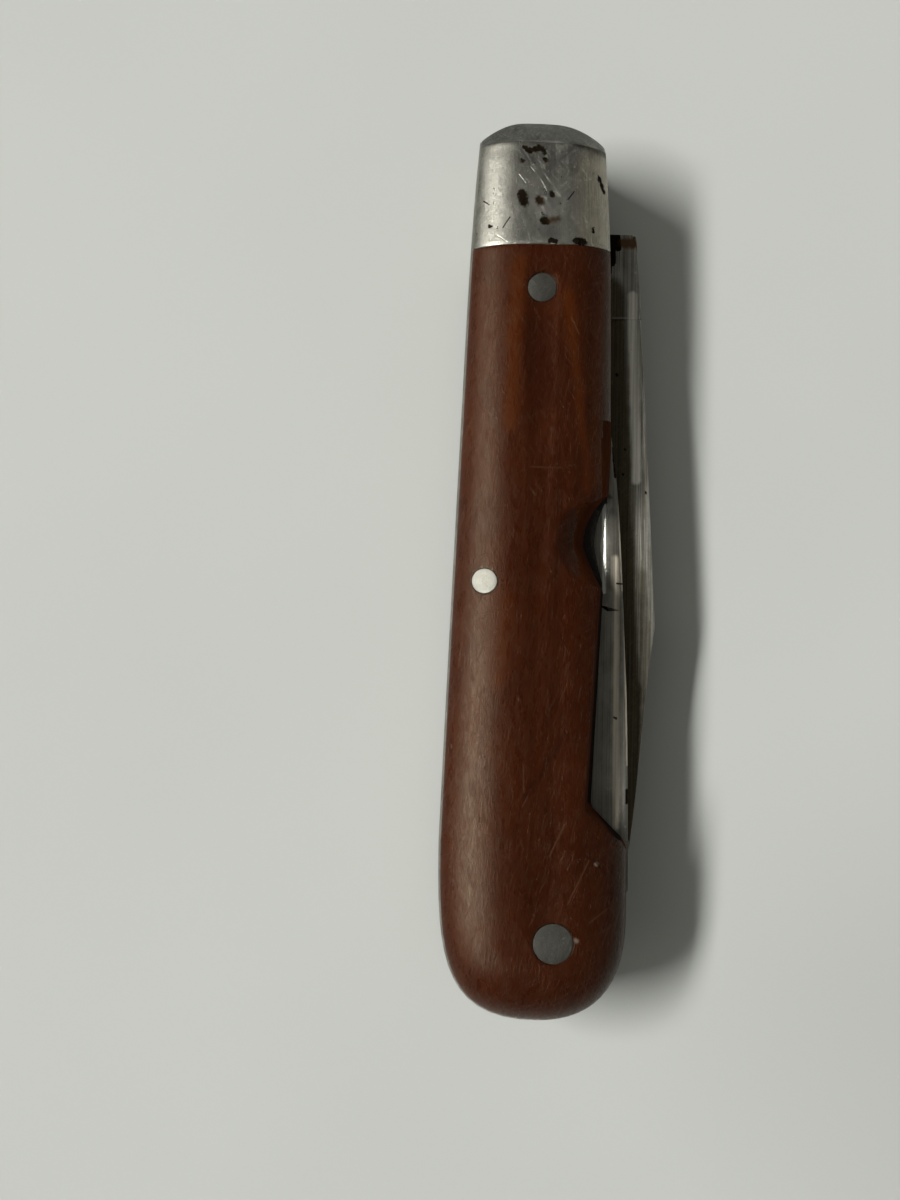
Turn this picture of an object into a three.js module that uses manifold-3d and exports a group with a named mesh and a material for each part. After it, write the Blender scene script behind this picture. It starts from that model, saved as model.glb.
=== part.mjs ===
// A double-ended folding pocket knife, closed, lying on its far side.
//
// Two blades fold into two layers of one handle. The main blade turns on a pin in the bolster and
// lies in the far layer. The small blade turns on the big rivet at the butt and lies in the near
// layer. Each layer has its own back spring, which presses on the flats of that blade's tang.
//
// Millimetres. +Y runs from the butt to the bolster, +X towards the side the blades open on, and
// +Z up from the far scale's flat to the near scale. The origin is on the far scale's flat, on the
// handle's centreline and halfway along it.

import * as THREE from "three";
import { mergeVertices } from "three/addons/utils/BufferGeometryUtils.js";
import Module from "manifold-3d";

const wasm = await Module();
wasm.setup();

// Handle outline. Half widths are measured from the centreline, the back on -X, the front on +X.
const HANDLE_LENGTH = 100.2;
const BOLSTER_LENGTH = 14.5;
const END_BACK = 6.98;
const END_FRONT = 6.72;
const SEAM_BACK = 7.93;
const SEAM_FRONT = 7.66;
const WAIST_FROM_END = 35;
const WAIST_BACK = 8.8;
const WAIST_FRONT = 8.15;
const WRIST_FROM_BUTT = 41;
const WRIST_BACK = 9.78;
const WRIST_FRONT = 9.4;
const SWELL_FROM_BUTT = 20;
const SWELL_BACK = 10.58;
const SWELL_FRONT = 10.48;
const BUTT_LOW_POINT = 0.7;
const BUTT_STRAIGHT_BACK = 18;
const BUTT_STRAIGHT_FRONT = 11.4;
const BUTT_CORNER_RISE_BACK = 6.3;
const BUTT_CORNER_RISE_FRONT = 3.3;
const BUTT_REACH_BACK = 1.2;
const BUTT_REACH_FRONT = 3.9;

// The end's two curves, from the highest point down each side: across, and down from the end.
const END_PEAK = [-0.9, 0];
const END_BACK_CURVE = [[-3.2, 0], [-4, 0.1], [-7.06, 2.2]];
const END_FRONT_CURVE = [[1.9, 0], [3.4, 0.15], [6.55, 2.5]];
const END_CORNER = [6.95, 2.85];
const END_CORNER_DROP = 3.6;

// Layers, from the table up.
const SCALE_THICKNESS = 3.3;
const LINER_THICKNESS = 0.6;
const MAIN_LAYER = 2.5;
const CENTRE_LINER_THICKNESS = 0.4;
const SMALL_LAYER = 1.5;

// The crown of the scales and bolsters: flat in the middle, then falling away to the sides. Shares
// run from 0 at the centreline to 1 at the side.
const CROWN_LAND_SHARE = 0.3;
const CROWN_DROP = 3;
const CROWN_DROP_AT_END = 2.1;
const CROWN_FULLNESS = 0.8;
const CROWN_SHARES = [0, 0.28, 0.5, 0.68, 0.82, 0.92, 0.98, 1];
const CROWN_BUTT_CENTRE = 10.1;
const SIDE_STATIONS = 22;
const BUTT_STATIONS = 12;
const SCALE_INSET = 0.12;

// The facet across the bolster's end: where it starts on the centreline, how that line slants, and
// how steeply the facet falls.
const FACET_LENGTH = 3.45;
const FACET_SLANT = -0.035;
const FACET_SLOPE = 0.91;

// The cut-out along the near scale's front edge, and the thumb scoop in it.
const CUTOUT_FROM_END = 33.2;
const CUTOUT_SHOULDER_FROM_BUTT = 24.5;
const CUTOUT_DEPTH = 4;
const CUTOUT_RUN_OUT = 7.2;
const CUTOUT_CORNER_SHARE = 0.75;
const CUTOUT_CORNER_EASE = 0.6;
const CUTOUT_OVERCUT = 0.1;
const CUTOUT_LEAN = 0.36;
const CUTOUT_FOOT = 0.15;
const SCOOP_FROM_END = 47.1;
const SCOOP_LENGTH_AT_LINER = 10.8;
const SCOOP_LENGTH_AT_CROWN = 11.8;
const SCOOP_DEPTH_AT_LINER = 2.4;
const SCOOP_DEPTH_AT_CROWN = 5.8;
const SCOOP_WALL_EASE = 2.2;
const SCOOP_TOP_EASE_AT_LINER = 2.1;
const SCOOP_TOP_EASE_AT_CROWN = 3.4;
const SCOOP_FOOT_EASE_AT_LINER = 1.2;
const SCOOP_FOOT_EASE_AT_CROWN = 2.1;
const LINER_NOTCH_LENGTH = 9.6;
const LINER_NOTCH_DEPTH = 1.15;
const BITE_STEPS = 18;
const SCOOP_STEPS = 9;

// Pins and rivets.
const MAIN_PIVOT_FROM_END = 6.8;
const MAIN_PIVOT_OFFSET = 1.95;
const MAIN_PIVOT_DIAMETER = 3.4;
const SMALL_PIVOT_FROM_BUTT = 9.6;
const SMALL_PIVOT_OFFSET = 2.07;
const SMALL_PIVOT_DIAMETER = 4.4;
const SPRING_PIN_FROM_END = 51.2;
const SPRING_PIN_FROM_BACK = 3.5;
const SPRING_PIN_DIAMETER = 2.7;
const SCALE_RIVET_FROM_SEAM = 4.7;
const SCALE_RIVET_OFFSET = -0.15;
const SCALE_RIVET_DIAMETER = 3.1;
const PIN_SEGMENTS = 32;

// Clearances.
const RUNNING_CLEARANCE = 0.05;
const PIN_CLEARANCE = 0.02;
const SIDE_CLEARANCE = 0.05;
const SEAT_GAP = 0.04;
const SEAM_GAP = 0.03;
const WELL_CLEARANCE = 1.1;

// Springs.
const NOSE_BELOW_PIVOT = 4.3;
const NOSE_RUN = 4;
const LEAF_THICKNESS = 2.9;
const BOSS_WALL = 1.6;
const BLOCK_WALL = 2;
const BLOCK_BEYOND_TIP = 2.2;
const BLOCK_SLOPE = 0.9;

// Each blade's sizes are measured from its pivot: across towards the spine, and along the blade.
const MAIN_BLADE = {
  tangHalfWidth: 5.2,
  tangRadius: 6.1,
  shoulder: 4.5,
  spineAtShoulder: 9.1,
  spinePeak: 11.95,
  kickLength: 6.9,
  ricasso: 14.2,
  edgeOffset: 2.2,
  tipOffset: 8,
  tipShortOfFarPivot: 3.2,
  clipLength: 31.3,
  clipDrop: 1.35,
  clipStartEase: 0.293,
  clipTipRise: 1.83,
  clipTipEase: 0.163,
  bellyLength: 26,
  spineChamfer: 1.2,
  spineRound: 0.88,
  spineLand: 0.2,
  grindHollow: 0.12,
  distalTaper: 0.4,
  edgeThickness: 0.25,
  nickFromShoulder: 30,
  nickFromSpine: 2.2,
  nickLength: 12,
  nickWheelRadius: 15,
};
const SMALL_BLADE = {
  tangHalfWidth: 5.4,
  tangRadius: 6.2,
  shoulder: 4.5,
  spineAtShoulder: 8.75,
  spinePeak: 8.35,
  kickLength: 6,
  ricasso: 10.5,
  edgeOffset: 0.6,
  tipOffset: 2.6,
  tipShortOfFarPivot: 18.4,
  clipLength: 38,
  clipDrop: 0.93,
  clipStartEase: 0.38,
  clipTipRise: 4.7,
  clipTipEase: 0.13,
  bellyLength: 24,
  spineChamfer: 0.4,
  spineRound: 0.68,
  spineLand: 2.6,
  grindHollow: 0.12,
  distalTaper: 0.3,
  edgeThickness: 0.2,
  nickFromShoulder: 38.8,
  nickFromSpine: 1.35,
  nickLength: 16,
  nickWheelRadius: 40,
};
const TIP_LAND = 0.4;
const SPINE_BOW = 0.2;
const BELLY_START_EASE = 0.5;
const BELLY_TIP_EASE = 0.1;
const BELLY_TIP_SHARE = 0.45;
const CHOIL_STEP = 0.6;
const CHOIL_DEPTH = 1.8;
const CHOIL_LENGTH = 2.6;
const MOST_CHAMFER_SHARE = 0.2;
const MOST_LAND_SHARE = 0.45;
const BEVEL_SHARES = [0.33, 0.67];
const STATION_CROWDING = 1.35;
const GRIND_STEP = 0.06;
const RICASSO_STEP = 0.25;
const RICASSO_LAP = 0.2;
const SHOULDER_CORNER = 0.7;
const NICK_WHEEL_HEIGHT = 3;
const WHEEL_SEGMENTS = 96;
const NICK_TILT = THREE.MathUtils.degToRad(24);
const BLADE_STATIONS = 26;

// Places worked out from the sizes above.
const END_Y = HANDLE_LENGTH / 2;
const BUTT_Y = -HANDLE_LENGTH / 2;
const SEAM_Y = END_Y - BOLSTER_LENGTH;
const SWELL_Y = BUTT_Y + SWELL_FROM_BUTT;
const OVERRUN = 12;
const SLACK = 1;
const CURVE_SEGMENTS = 14;

const FAR_LINER_Z = SCALE_THICKNESS;
const MAIN_LAYER_Z = FAR_LINER_Z + LINER_THICKNESS;
const CENTRE_LINER_Z = MAIN_LAYER_Z + MAIN_LAYER;
const SMALL_LAYER_Z = CENTRE_LINER_Z + CENTRE_LINER_THICKNESS;
const NEAR_LINER_Z = SMALL_LAYER_Z + SMALL_LAYER;
const NEAR_SCALE_Z = NEAR_LINER_Z + LINER_THICKNESS;
const TOP_Z = NEAR_SCALE_Z + SCALE_THICKNESS;

/** Make a half width into a smooth function of y, through its stations from the butt up. */
function halfWidthCurve(widths) {
  const heights = [SWELL_Y, BUTT_Y + WRIST_FROM_BUTT, END_Y - WAIST_FROM_END, SEAM_Y, END_Y];
  const curve = new THREE.CubicInterpolant(heights, widths, 1);
  return (y) => curve.evaluate(THREE.MathUtils.clamp(y, SWELL_Y, END_Y))[0];
}

const frontAt = halfWidthCurve([SWELL_FRONT, WRIST_FRONT, WAIST_FRONT, SEAM_FRONT, END_FRONT]);
const backAt = halfWidthCurve([SWELL_BACK, WRIST_BACK, WAIST_BACK, SEAM_BACK, END_BACK]);

const MAIN_PIVOT = new THREE.Vector2(MAIN_PIVOT_OFFSET, END_Y - MAIN_PIVOT_FROM_END);
const SMALL_PIVOT = new THREE.Vector2(SMALL_PIVOT_OFFSET, BUTT_Y + SMALL_PIVOT_FROM_BUTT);
const SPRING_PIN_Y = END_Y - SPRING_PIN_FROM_END;
const SPRING_PIN = new THREE.Vector2(SPRING_PIN_FROM_BACK - backAt(SPRING_PIN_Y), SPRING_PIN_Y);
const SCALE_RIVET = new THREE.Vector2(SCALE_RIVET_OFFSET, SEAM_Y - SCALE_RIVET_FROM_SEAM);
const PIVOT_SPAN = MAIN_PIVOT.y - SMALL_PIVOT.y;

/** Turn a closed geometry into a solid that can be joined and cut. */
function solidOf(geometry) {
  const bare = geometry.clone();
  bare.deleteAttribute("normal");
  bare.deleteAttribute("uv");
  const merged = mergeVertices(bare, 1e-5);
  const mesh = new wasm.Mesh({
    numProp: 3,
    vertProperties: Float32Array.from(merged.attributes.position.array),
    triVerts: Uint32Array.from(merged.index.array),
  });
  return new wasm.Manifold(mesh);
}

/** Turn a finished solid back into a geometry. */
function geometryOf(solid) {
  const mesh = solid.getMesh();
  const geometry = new THREE.BufferGeometry();
  geometry.setAttribute("position", new THREE.BufferAttribute(Float32Array.from(mesh.vertProperties), 3));
  geometry.setIndex(new THREE.BufferAttribute(Uint32Array.from(mesh.triVerts), 1));
  geometry.computeVertexNormals();
  return geometry;
}

/** Extrude a flat shape between two heights. */
function slab(shape, bottom, top) {
  const geometry = new THREE.ExtrudeGeometry(shape, {
    depth: top - bottom,
    bevelEnabled: false,
    curveSegments: CURVE_SEGMENTS,
  });
  geometry.translate(0, 0, bottom);
  return solidOf(geometry);
}

/** Make a box between two corners. */
function block(low, high) {
  const geometry = new THREE.BoxGeometry(high[0] - low[0], high[1] - low[1], high[2] - low[2]);
  geometry.translate((low[0] + high[0]) / 2, (low[1] + high[1]) / 2, (low[2] + high[2]) / 2);
  return solidOf(geometry);
}

/** Make an upright round bar at a place, between two heights. */
function bar(place, radius, bottom, top) {
  const geometry = new THREE.CylinderGeometry(radius, radius, top - bottom, PIN_SEGMENTS);
  geometry.rotateX(Math.PI / 2);
  geometry.translate(place.x, place.y, (bottom + top) / 2);
  return solidOf(geometry);
}

/** Lace a ring shut, from its first and last points to its middle. */
function capTriangles(count) {
  const triangles = [];
  for (let low = 0, high = count - 1; high - low >= 2; low += 1, high -= 1) {
    triangles.push([low, high - 1, high]);
    if (high - low > 2) {
      triangles.push([low, low + 1, high - 1]);
    }
  }
  return triangles;
}

/** Skin a row of rings, each with as many points, and close both ends. */
function loft(rings) {
  const count = rings[0].length;
  const positions = rings.flat().flatMap((point) => [point.x, point.y, point.z]);
  const triangles = [];
  for (let ring = 0; ring + 1 < rings.length; ring += 1) {
    for (let index = 0; index < count; index += 1) {
      const here = ring * count + index;
      const next = ring * count + ((index + 1) % count);
      triangles.push(here, next, next + count, here, next + count, here + count);
    }
  }
  const last = (rings.length - 1) * count;
  for (const [a, b, c] of capTriangles(count)) {
    triangles.push(a, c, b, last + a, last + b, last + c);
  }
  const geometry = new THREE.BufferGeometry();
  geometry.setAttribute("position", new THREE.Float32BufferAttribute(positions, 3));
  geometry.setIndex(triangles);
  return solidOf(geometry);
}

/** Run the butt's rounding from the back's swell to the front's, as part of an outline. */
function addButt(shape) {
  const backCorner = BUTT_Y + BUTT_CORNER_RISE_BACK;
  const frontCorner = BUTT_Y + BUTT_CORNER_RISE_FRONT;
  const backReach = SWELL_BACK - BUTT_REACH_BACK;
  const frontReach = SWELL_FRONT - BUTT_REACH_FRONT;
  shape.lineTo(-SWELL_BACK, BUTT_Y + BUTT_STRAIGHT_BACK);
  shape.bezierCurveTo(-SWELL_BACK, backCorner, -backReach, BUTT_Y, BUTT_LOW_POINT, BUTT_Y);
  const frontStart = BUTT_Y + BUTT_STRAIGHT_FRONT;
  shape.bezierCurveTo(frontReach, BUTT_Y, SWELL_FRONT, frontCorner, SWELL_FRONT, frontStart);
}

/** Draw the handle's outline, with its round end. */
function handleOutline() {
  const shape = new THREE.Shape();
  const place = ([across, down]) => new THREE.Vector2(across, END_Y - down);
  const peak = place(END_PEAK);
  const back = END_BACK_CURVE.map(place);
  const front = END_FRONT_CURVE.map(place);
  const corner = place(END_CORNER);
  const frontTop = END_Y - END_CORNER_DROP;
  shape.moveTo(frontAt(SWELL_Y), SWELL_Y);
  for (let step = 1; step <= SIDE_STATIONS; step += 1) {
    const y = THREE.MathUtils.lerp(SWELL_Y, frontTop, step / SIDE_STATIONS);
    shape.lineTo(frontAt(y), y);
  }
  shape.quadraticCurveTo(corner.x, corner.y, front[2].x, front[2].y);
  shape.bezierCurveTo(front[1].x, front[1].y, front[0].x, front[0].y, peak.x, peak.y);
  shape.bezierCurveTo(back[0].x, back[0].y, back[1].x, back[1].y, back[2].x, back[2].y);
  for (let step = SIDE_STATIONS - 1; step >= 0; step -= 1) {
    const y = THREE.MathUtils.lerp(SWELL_Y, back[2].y, step / SIDE_STATIONS);
    shape.lineTo(-backAt(y), y);
  }
  addButt(shape);
  return shape;
}

const OUTLINE = handleOutline();

/** Give how far the crown falls from its flat to its side, at a height along the handle. */
function crownDropAt(y) {
  return THREE.MathUtils.lerp(CROWN_DROP, CROWN_DROP_AT_END, THREE.MathUtils.smoothstep(y, 0, END_Y));
}

/** List the sides of the crowned body, down the back, round the butt and up the front. */
function crownSides() {
  const rise = (END_Y + OVERRUN - SWELL_Y) / SIDE_STATIONS;
  const heights = Array.from({ length: SIDE_STATIONS }, (_, step) => END_Y + OVERRUN - rise * step);
  const butt = new THREE.Path();
  butt.moveTo(-SWELL_BACK, SWELL_Y);
  addButt(butt);
  return [
    ...heights.map((y) => new THREE.Vector2(-backAt(y), y)),
    ...butt.getPoints(BUTT_STATIONS),
    ...heights.reverse().map((y) => new THREE.Vector2(frontAt(y), y)),
  ];
}

/** Make the rings of one face's crown, from its side to its flat. */
function crownRings(face) {
  const sides = crownSides();
  const centres = sides.map(({ y }) => new THREE.Vector2(0, Math.max(y, BUTT_Y + CROWN_BUTT_CENTRE)));
  const fallAt = (share) => 1 - (1 - share ** 2) ** CROWN_FULLNESS;
  const ringAt = (share) => {
    return sides.map((side, index) => {
      const spoke = side.clone().sub(centres[index]);
      spoke.setLength(spoke.length() - SCALE_INSET);
      spoke.multiplyScalar(THREE.MathUtils.lerp(CROWN_LAND_SHARE, 1, share)).add(centres[index]);
      const fall = crownDropAt(side.y) * fallAt(share);
      return new THREE.Vector3(spoke.x, spoke.y, face > 0 ? TOP_Z - fall : fall);
    });
  };
  return CROWN_SHARES.map(ringAt).reverse();
}

/** Make the body that the scales, bolsters and rivets share: crowned on both faces. */
function crownedHandle() {
  const rings = [...crownRings(-1).reverse(), ...crownRings(1)];
  return loft(rings).intersect(slab(OUTLINE, -SLACK, TOP_Z + SLACK));
}

/** Make the body that a bolster keeps: the crown again, tilted along the handle into the facet. */
function facetBody(face) {
  const tilted = ({ x, y, z }) => {
    const past = y - (END_Y - FACET_LENGTH + FACET_SLANT * x);
    return new THREE.Vector3(x, y, z - face * FACET_SLOPE * past);
  };
  const crown = crownRings(face);
  const foot = crown[0].map(({ x, y, z }) => new THREE.Vector3(x, y, z - face * 2 * OVERRUN));
  const rings = [foot, ...crown].map((ring) => ring.map(tilted));
  return loft(face > 0 ? rings : rings.reverse());
}

const CROWNED = crownedHandle();

/** Cut pin holes through a solid. */
function drilled(solid, holes) {
  return holes.reduce((rest, hole) => {
    return rest.subtract(bar(hole.place, hole.radius, -SLACK, TOP_Z + SLACK));
  }, solid);
}

const PIN_HOLES = {
  bolster: { place: MAIN_PIVOT, radius: MAIN_PIVOT_DIAMETER / 2 + PIN_CLEARANCE },
  butt: { place: SMALL_PIVOT, radius: SMALL_PIVOT_DIAMETER / 2 + PIN_CLEARANCE },
  spring: { place: SPRING_PIN, radius: SPRING_PIN_DIAMETER / 2 + PIN_CLEARANCE },
  scale: { place: SCALE_RIVET, radius: SCALE_RIVET_DIAMETER / 2 + PIN_CLEARANCE },
};
const ALL_HOLES = Object.values(PIN_HOLES);

/** Draw the near side's open front edge, with its shoulder towards the butt. */
function cutoutShape() {
  const top = END_Y - CUTOUT_FROM_END;
  const shoulder = BUTT_Y + CUTOUT_SHOULDER_FROM_BUTT;
  const inner = frontAt(shoulder) - CUTOUT_DEPTH;
  const runOut = shoulder - CUTOUT_RUN_OUT;
  const corner = CUTOUT_DEPTH * CUTOUT_CORNER_SHARE;
  const ease = CUTOUT_CORNER_EASE;
  const outside = SWELL_FRONT + CUTOUT_OVERCUT;
  const slant = shoulder - (2 * ease) / 3;
  const shape = new THREE.Shape();
  shape.moveTo(frontAt(top), top);
  shape.lineTo(inner, shoulder);
  shape.lineTo(inner + ease / 3, shoulder - ease);
  shape.lineTo(inner + corner, slant - corner);
  shape.quadraticCurveTo(SWELL_FRONT, slant - CUTOUT_DEPTH, outside, runOut);
  shape.lineTo(SWELL_FRONT + OVERRUN, runOut);
  shape.lineTo(SWELL_FRONT + OVERRUN, top);
  return shape;
}

/** Make the cutter for the scale's cut-out, whose wall leans back from its foot to the crown. */
function leaningCutoutCutter() {
  const height = SCALE_THICKNESS + 2 * SLACK;
  const geometry = new THREE.ExtrudeGeometry(cutoutShape(), {
    depth: height,
    bevelEnabled: false,
    curveSegments: CURVE_SEGMENTS,
  });
  geometry.applyMatrix4(new THREE.Matrix4().makeShear(0, 0, 0, 0, -CUTOUT_LEAN, 0));
  geometry.translate(CUTOUT_FOOT + CUTOUT_LEAN * SLACK, 0, NEAR_SCALE_Z - SLACK);
  return solidOf(geometry);
}

/** Give the x of the cut-out's straight edge at a height along the handle. */
function cutoutEdgeAt(y) {
  const top = END_Y - CUTOUT_FROM_END;
  const shoulder = BUTT_Y + CUTOUT_SHOULDER_FROM_BUTT;
  const inner = frontAt(shoulder) - CUTOUT_DEPTH;
  return THREE.MathUtils.mapLinear(y, shoulder, top, inner, frontAt(top));
}

/** Draw a bite into the cut-out's edge, with its own roundness towards the end and the butt. */
function biteRing({ length, depth, topEase, footEase }, z) {
  const middle = END_Y - SCOOP_FROM_END;
  const edge = cutoutEdgeAt(middle);
  const half = length / 2;
  const ring = [];
  for (let step = 0; step <= BITE_STEPS; step += 1) {
    const along = Math.cos((Math.PI * step) / BITE_STEPS);
    const across = 1 - Math.abs(along) ** (along > 0 ? topEase : footEase);
    ring.push(new THREE.Vector3(edge - depth * across, middle + half * along, z));
  }
  ring.push(new THREE.Vector3(edge + OVERRUN, middle - half, z));
  ring.push(new THREE.Vector3(edge + OVERRUN, middle + half, z));
  return ring;
}

/** Give the scoop's bite at a share of the way from the liner to the crown. */
function scoopBite(share) {
  const between = (atLiner, atCrown) => THREE.MathUtils.lerp(atLiner, atCrown, share);
  return {
    length: between(SCOOP_LENGTH_AT_LINER, SCOOP_LENGTH_AT_CROWN),
    depth: between(SCOOP_DEPTH_AT_LINER, SCOOP_DEPTH_AT_CROWN),
    topEase: between(SCOOP_TOP_EASE_AT_LINER, SCOOP_TOP_EASE_AT_CROWN),
    footEase: between(SCOOP_FOOT_EASE_AT_LINER, SCOOP_FOOT_EASE_AT_CROWN),
  };
}

/** Make the cutter for the thumb scoop, whose wall stands at the liner and rolls over at the crown. */
function scoopCutter() {
  const rings = [];
  for (let step = 0; step <= SCOOP_STEPS; step += 1) {
    const z = THREE.MathUtils.lerp(NEAR_SCALE_Z - SLACK / 2, TOP_Z + SLACK / 2, step / SCOOP_STEPS);
    const rise = Math.max(z - NEAR_SCALE_Z, 0) / SCALE_THICKNESS;
    rings.push(biteRing(scoopBite(rise ** SCOOP_WALL_EASE), z));
  }
  return loft(rings);
}

/** Make the cutter for the shallow notch that the near liner has under the scoop. */
function linerNotchCutter() {
  const bite = { ...scoopBite(0), length: LINER_NOTCH_LENGTH, depth: LINER_NOTCH_DEPTH };
  return loft([biteRing(bite, NEAR_LINER_Z - SLACK), biteRing(bite, NEAR_SCALE_Z + SLACK)]);
}

/** Keep the part of a solid inside a range of heights and of places along the handle. */
function portion(solid, fromY, toY, bottom, top) {
  const side = SWELL_BACK + OVERRUN;
  return solid.intersect(block([-side, fromY, bottom], [side, toY, top]));
}

/** Make one scale, from the butt to the bolster's seam. */
function scale(bottom, top) {
  const piece = portion(CROWNED, BUTT_Y - SLACK, SEAM_Y - SEAM_GAP, bottom, top);
  return drilled(piece, [PIN_HOLES.butt, PIN_HOLES.spring, PIN_HOLES.scale]);
}

/** Make one bolster, from the seam to the handle's end. */
function bolster(bottom, top, face) {
  const whole = portion(CROWNED, SEAM_Y, END_Y + SLACK, bottom, top);
  return drilled(whole.intersect(facetBody(face)), [PIN_HOLES.bolster]);
}

/** Make one full liner. */
function liner(bottom, top, holes) {
  return drilled(slab(OUTLINE, bottom, top), holes);
}

/** Make a pin or rivet whose ends follow the crowns. */
function pin(place, diameter, bottom, top) {
  return bar(place, diameter / 2, bottom, top).intersect(CROWNED);
}

/** Draw the spine of a blade that points down from its pivot, from its shoulder to its tip. */
function spinePoints(blade, length) {
  const clipStart = length - blade.clipLength;
  const tip = blade.tipOffset + TIP_LAND / 2;
  const path = new THREE.Path();
  path.moveTo(blade.spineAtShoulder, -blade.shoulder);
  path.quadraticCurveTo(
    (blade.spineAtShoulder + blade.spinePeak) / 2 + SPINE_BOW,
    -(blade.shoulder + clipStart) / 2,
    blade.spinePeak,
    -clipStart,
  );
  path.bezierCurveTo(
    blade.spinePeak - blade.clipDrop,
    -clipStart - blade.clipLength * blade.clipStartEase,
    tip + blade.clipTipRise,
    -length + blade.clipLength * blade.clipTipEase,
    tip,
    -length,
  );
  return path.getPoints(BLADE_STATIONS);
}

/** Draw the edge of a blade that points down from its pivot, from its ricasso to its tip. */
function edgePoints(blade, length) {
  const bellyStart = length - blade.bellyLength;
  const path = new THREE.Path();
  path.moveTo(-blade.edgeOffset, -blade.kickLength);
  path.lineTo(-blade.edgeOffset, -bellyStart);
  path.bezierCurveTo(
    -blade.edgeOffset,
    -bellyStart - blade.bellyLength * BELLY_START_EASE,
    blade.tipOffset * BELLY_TIP_SHARE,
    -length + blade.bellyLength * BELLY_TIP_EASE,
    blade.tipOffset - TIP_LAND / 2,
    -length,
  );
  return path.getPoints(BLADE_STATIONS);
}

/** Read how far across a drawn line lies at a distance along the blade. */
function acrossAt(points, along) {
  const index = points.findIndex((point) => point.y <= along);
  if (index <= 0) {
    return points[index < 0 ? points.length - 1 : 0].x;
  }
  const [before, after] = [points[index - 1], points[index]];
  return THREE.MathUtils.mapLinear(along, before.y, after.y, before.x, after.x);
}

/** Make the ring of one section across a ground blade: spine, land, hollow bevel and edge. */
function bladeSection(blade, thickness, spine, edge, along, share) {
  const width = spine - edge;
  const chamfer = Math.min(blade.spineChamfer, width * MOST_CHAMFER_SHARE);
  const land = Math.min(chamfer + blade.spineLand, width * MOST_LAND_SHARE);
  const full = (thickness / 2 - GRIND_STEP) * (1 - blade.distalTaper * share ** 2);
  const thin = blade.edgeThickness / 2;
  const hollowAt = (part) => full * blade.grindHollow * 4 * part * (1 - part);
  const bevelAt = (part) => {
    const height = THREE.MathUtils.lerp(full, thin, part) - hollowAt(part);
    return [spine - land - (width - land) * part, height];
  };
  const upper = [
    [spine, full * blade.spineRound],
    [spine - chamfer, full],
    [spine - land, full],
    ...BEVEL_SHARES.map(bevelAt),
    [edge, thin],
  ];
  const lower = upper.map(([across, height]) => [across, -height]).reverse();
  return [...upper, ...lower].map(([across, height]) => new THREE.Vector3(across, along, height));
}

/** Make the ground part of a blade, thinning from its ricasso to its tip. */
function groundBlade(blade, thickness, length) {
  const spine = spinePoints(blade, length);
  const edge = edgePoints(blade, length);
  const start = blade.ricasso - RICASSO_LAP;
  const rings = [];
  for (let station = 0; station <= BLADE_STATIONS; station += 1) {
    const share = 1 - (1 - station / BLADE_STATIONS) ** STATION_CROWDING;
    const along = -THREE.MathUtils.lerp(start, length, share);
    const back = acrossAt(spine, along) - GRIND_STEP;
    rings.push(bladeSection(blade, thickness, back, acrossAt(edge, along), along, share));
  }
  return loft(rings);
}

/** Draw a blade's tang: its round end between two flats, its kick, choil and ricasso. */
function tangShape(blade, length) {
  const half = blade.tangHalfWidth;
  const corner = Math.asin(half / blade.tangRadius);
  const plunge = -blade.ricasso;
  const kick = -blade.kickLength;
  const choil = -blade.edgeOffset + CHOIL_STEP;
  const spine = acrossAt(spinePoints(blade, length), plunge);
  const shape = new THREE.Shape();
  shape.moveTo(half, -blade.shoulder);
  shape.lineTo(half, blade.tangRadius * Math.cos(corner));
  shape.absarc(0, 0, blade.tangRadius, Math.PI / 2 - corner, Math.PI / 2 + corner);
  shape.lineTo(-half, kick + CHOIL_STEP);
  shape.quadraticCurveTo(-half, kick, -half + CHOIL_STEP, kick);
  shape.quadraticCurveTo(choil, kick - RICASSO_LAP, choil, kick - CHOIL_DEPTH);
  shape.lineTo(-blade.edgeOffset + RICASSO_STEP, kick - CHOIL_LENGTH);
  shape.lineTo(-blade.edgeOffset + RICASSO_STEP, plunge);
  shape.lineTo(spine, plunge);
  const back = blade.spineAtShoulder;
  shape.lineTo(back, -blade.shoulder - SHOULDER_CORNER);
  shape.quadraticCurveTo(back, -blade.shoulder, back - SHOULDER_CORNER, -blade.shoulder);
  return shape;
}

/** Make the wheel that grinds a nail nick into the far face, its floor turned to the edge. */
function nickCutter(blade, thickness, length) {
  const along = -blade.shoulder - blade.nickFromShoulder;
  const spine = acrossAt(spinePoints(blade, length), along);
  const radius = blade.nickWheelRadius;
  const bite = blade.nickLength ** 2 / (8 * radius);
  const axis = new THREE.Vector3(-Math.sin(NICK_TILT), 0, -Math.cos(NICK_TILT));
  const outward = new THREE.Vector3(Math.cos(NICK_TILT), 0, -Math.sin(NICK_TILT));
  const centre = new THREE.Vector3(spine - blade.nickFromSpine, along, PIN_CLEARANCE - thickness / 2);
  centre.addScaledVector(outward, radius - bite);
  centre.addScaledVector(axis, NICK_WHEEL_HEIGHT / 2);
  const geometry = new THREE.CylinderGeometry(radius, radius, NICK_WHEEL_HEIGHT, WHEEL_SEGMENTS);
  geometry.applyQuaternion(new THREE.Quaternion().setFromUnitVectors(new THREE.Vector3(0, 1, 0), axis));
  geometry.translate(centre.x, centre.y, centre.z);
  return solidOf(geometry);
}

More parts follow.
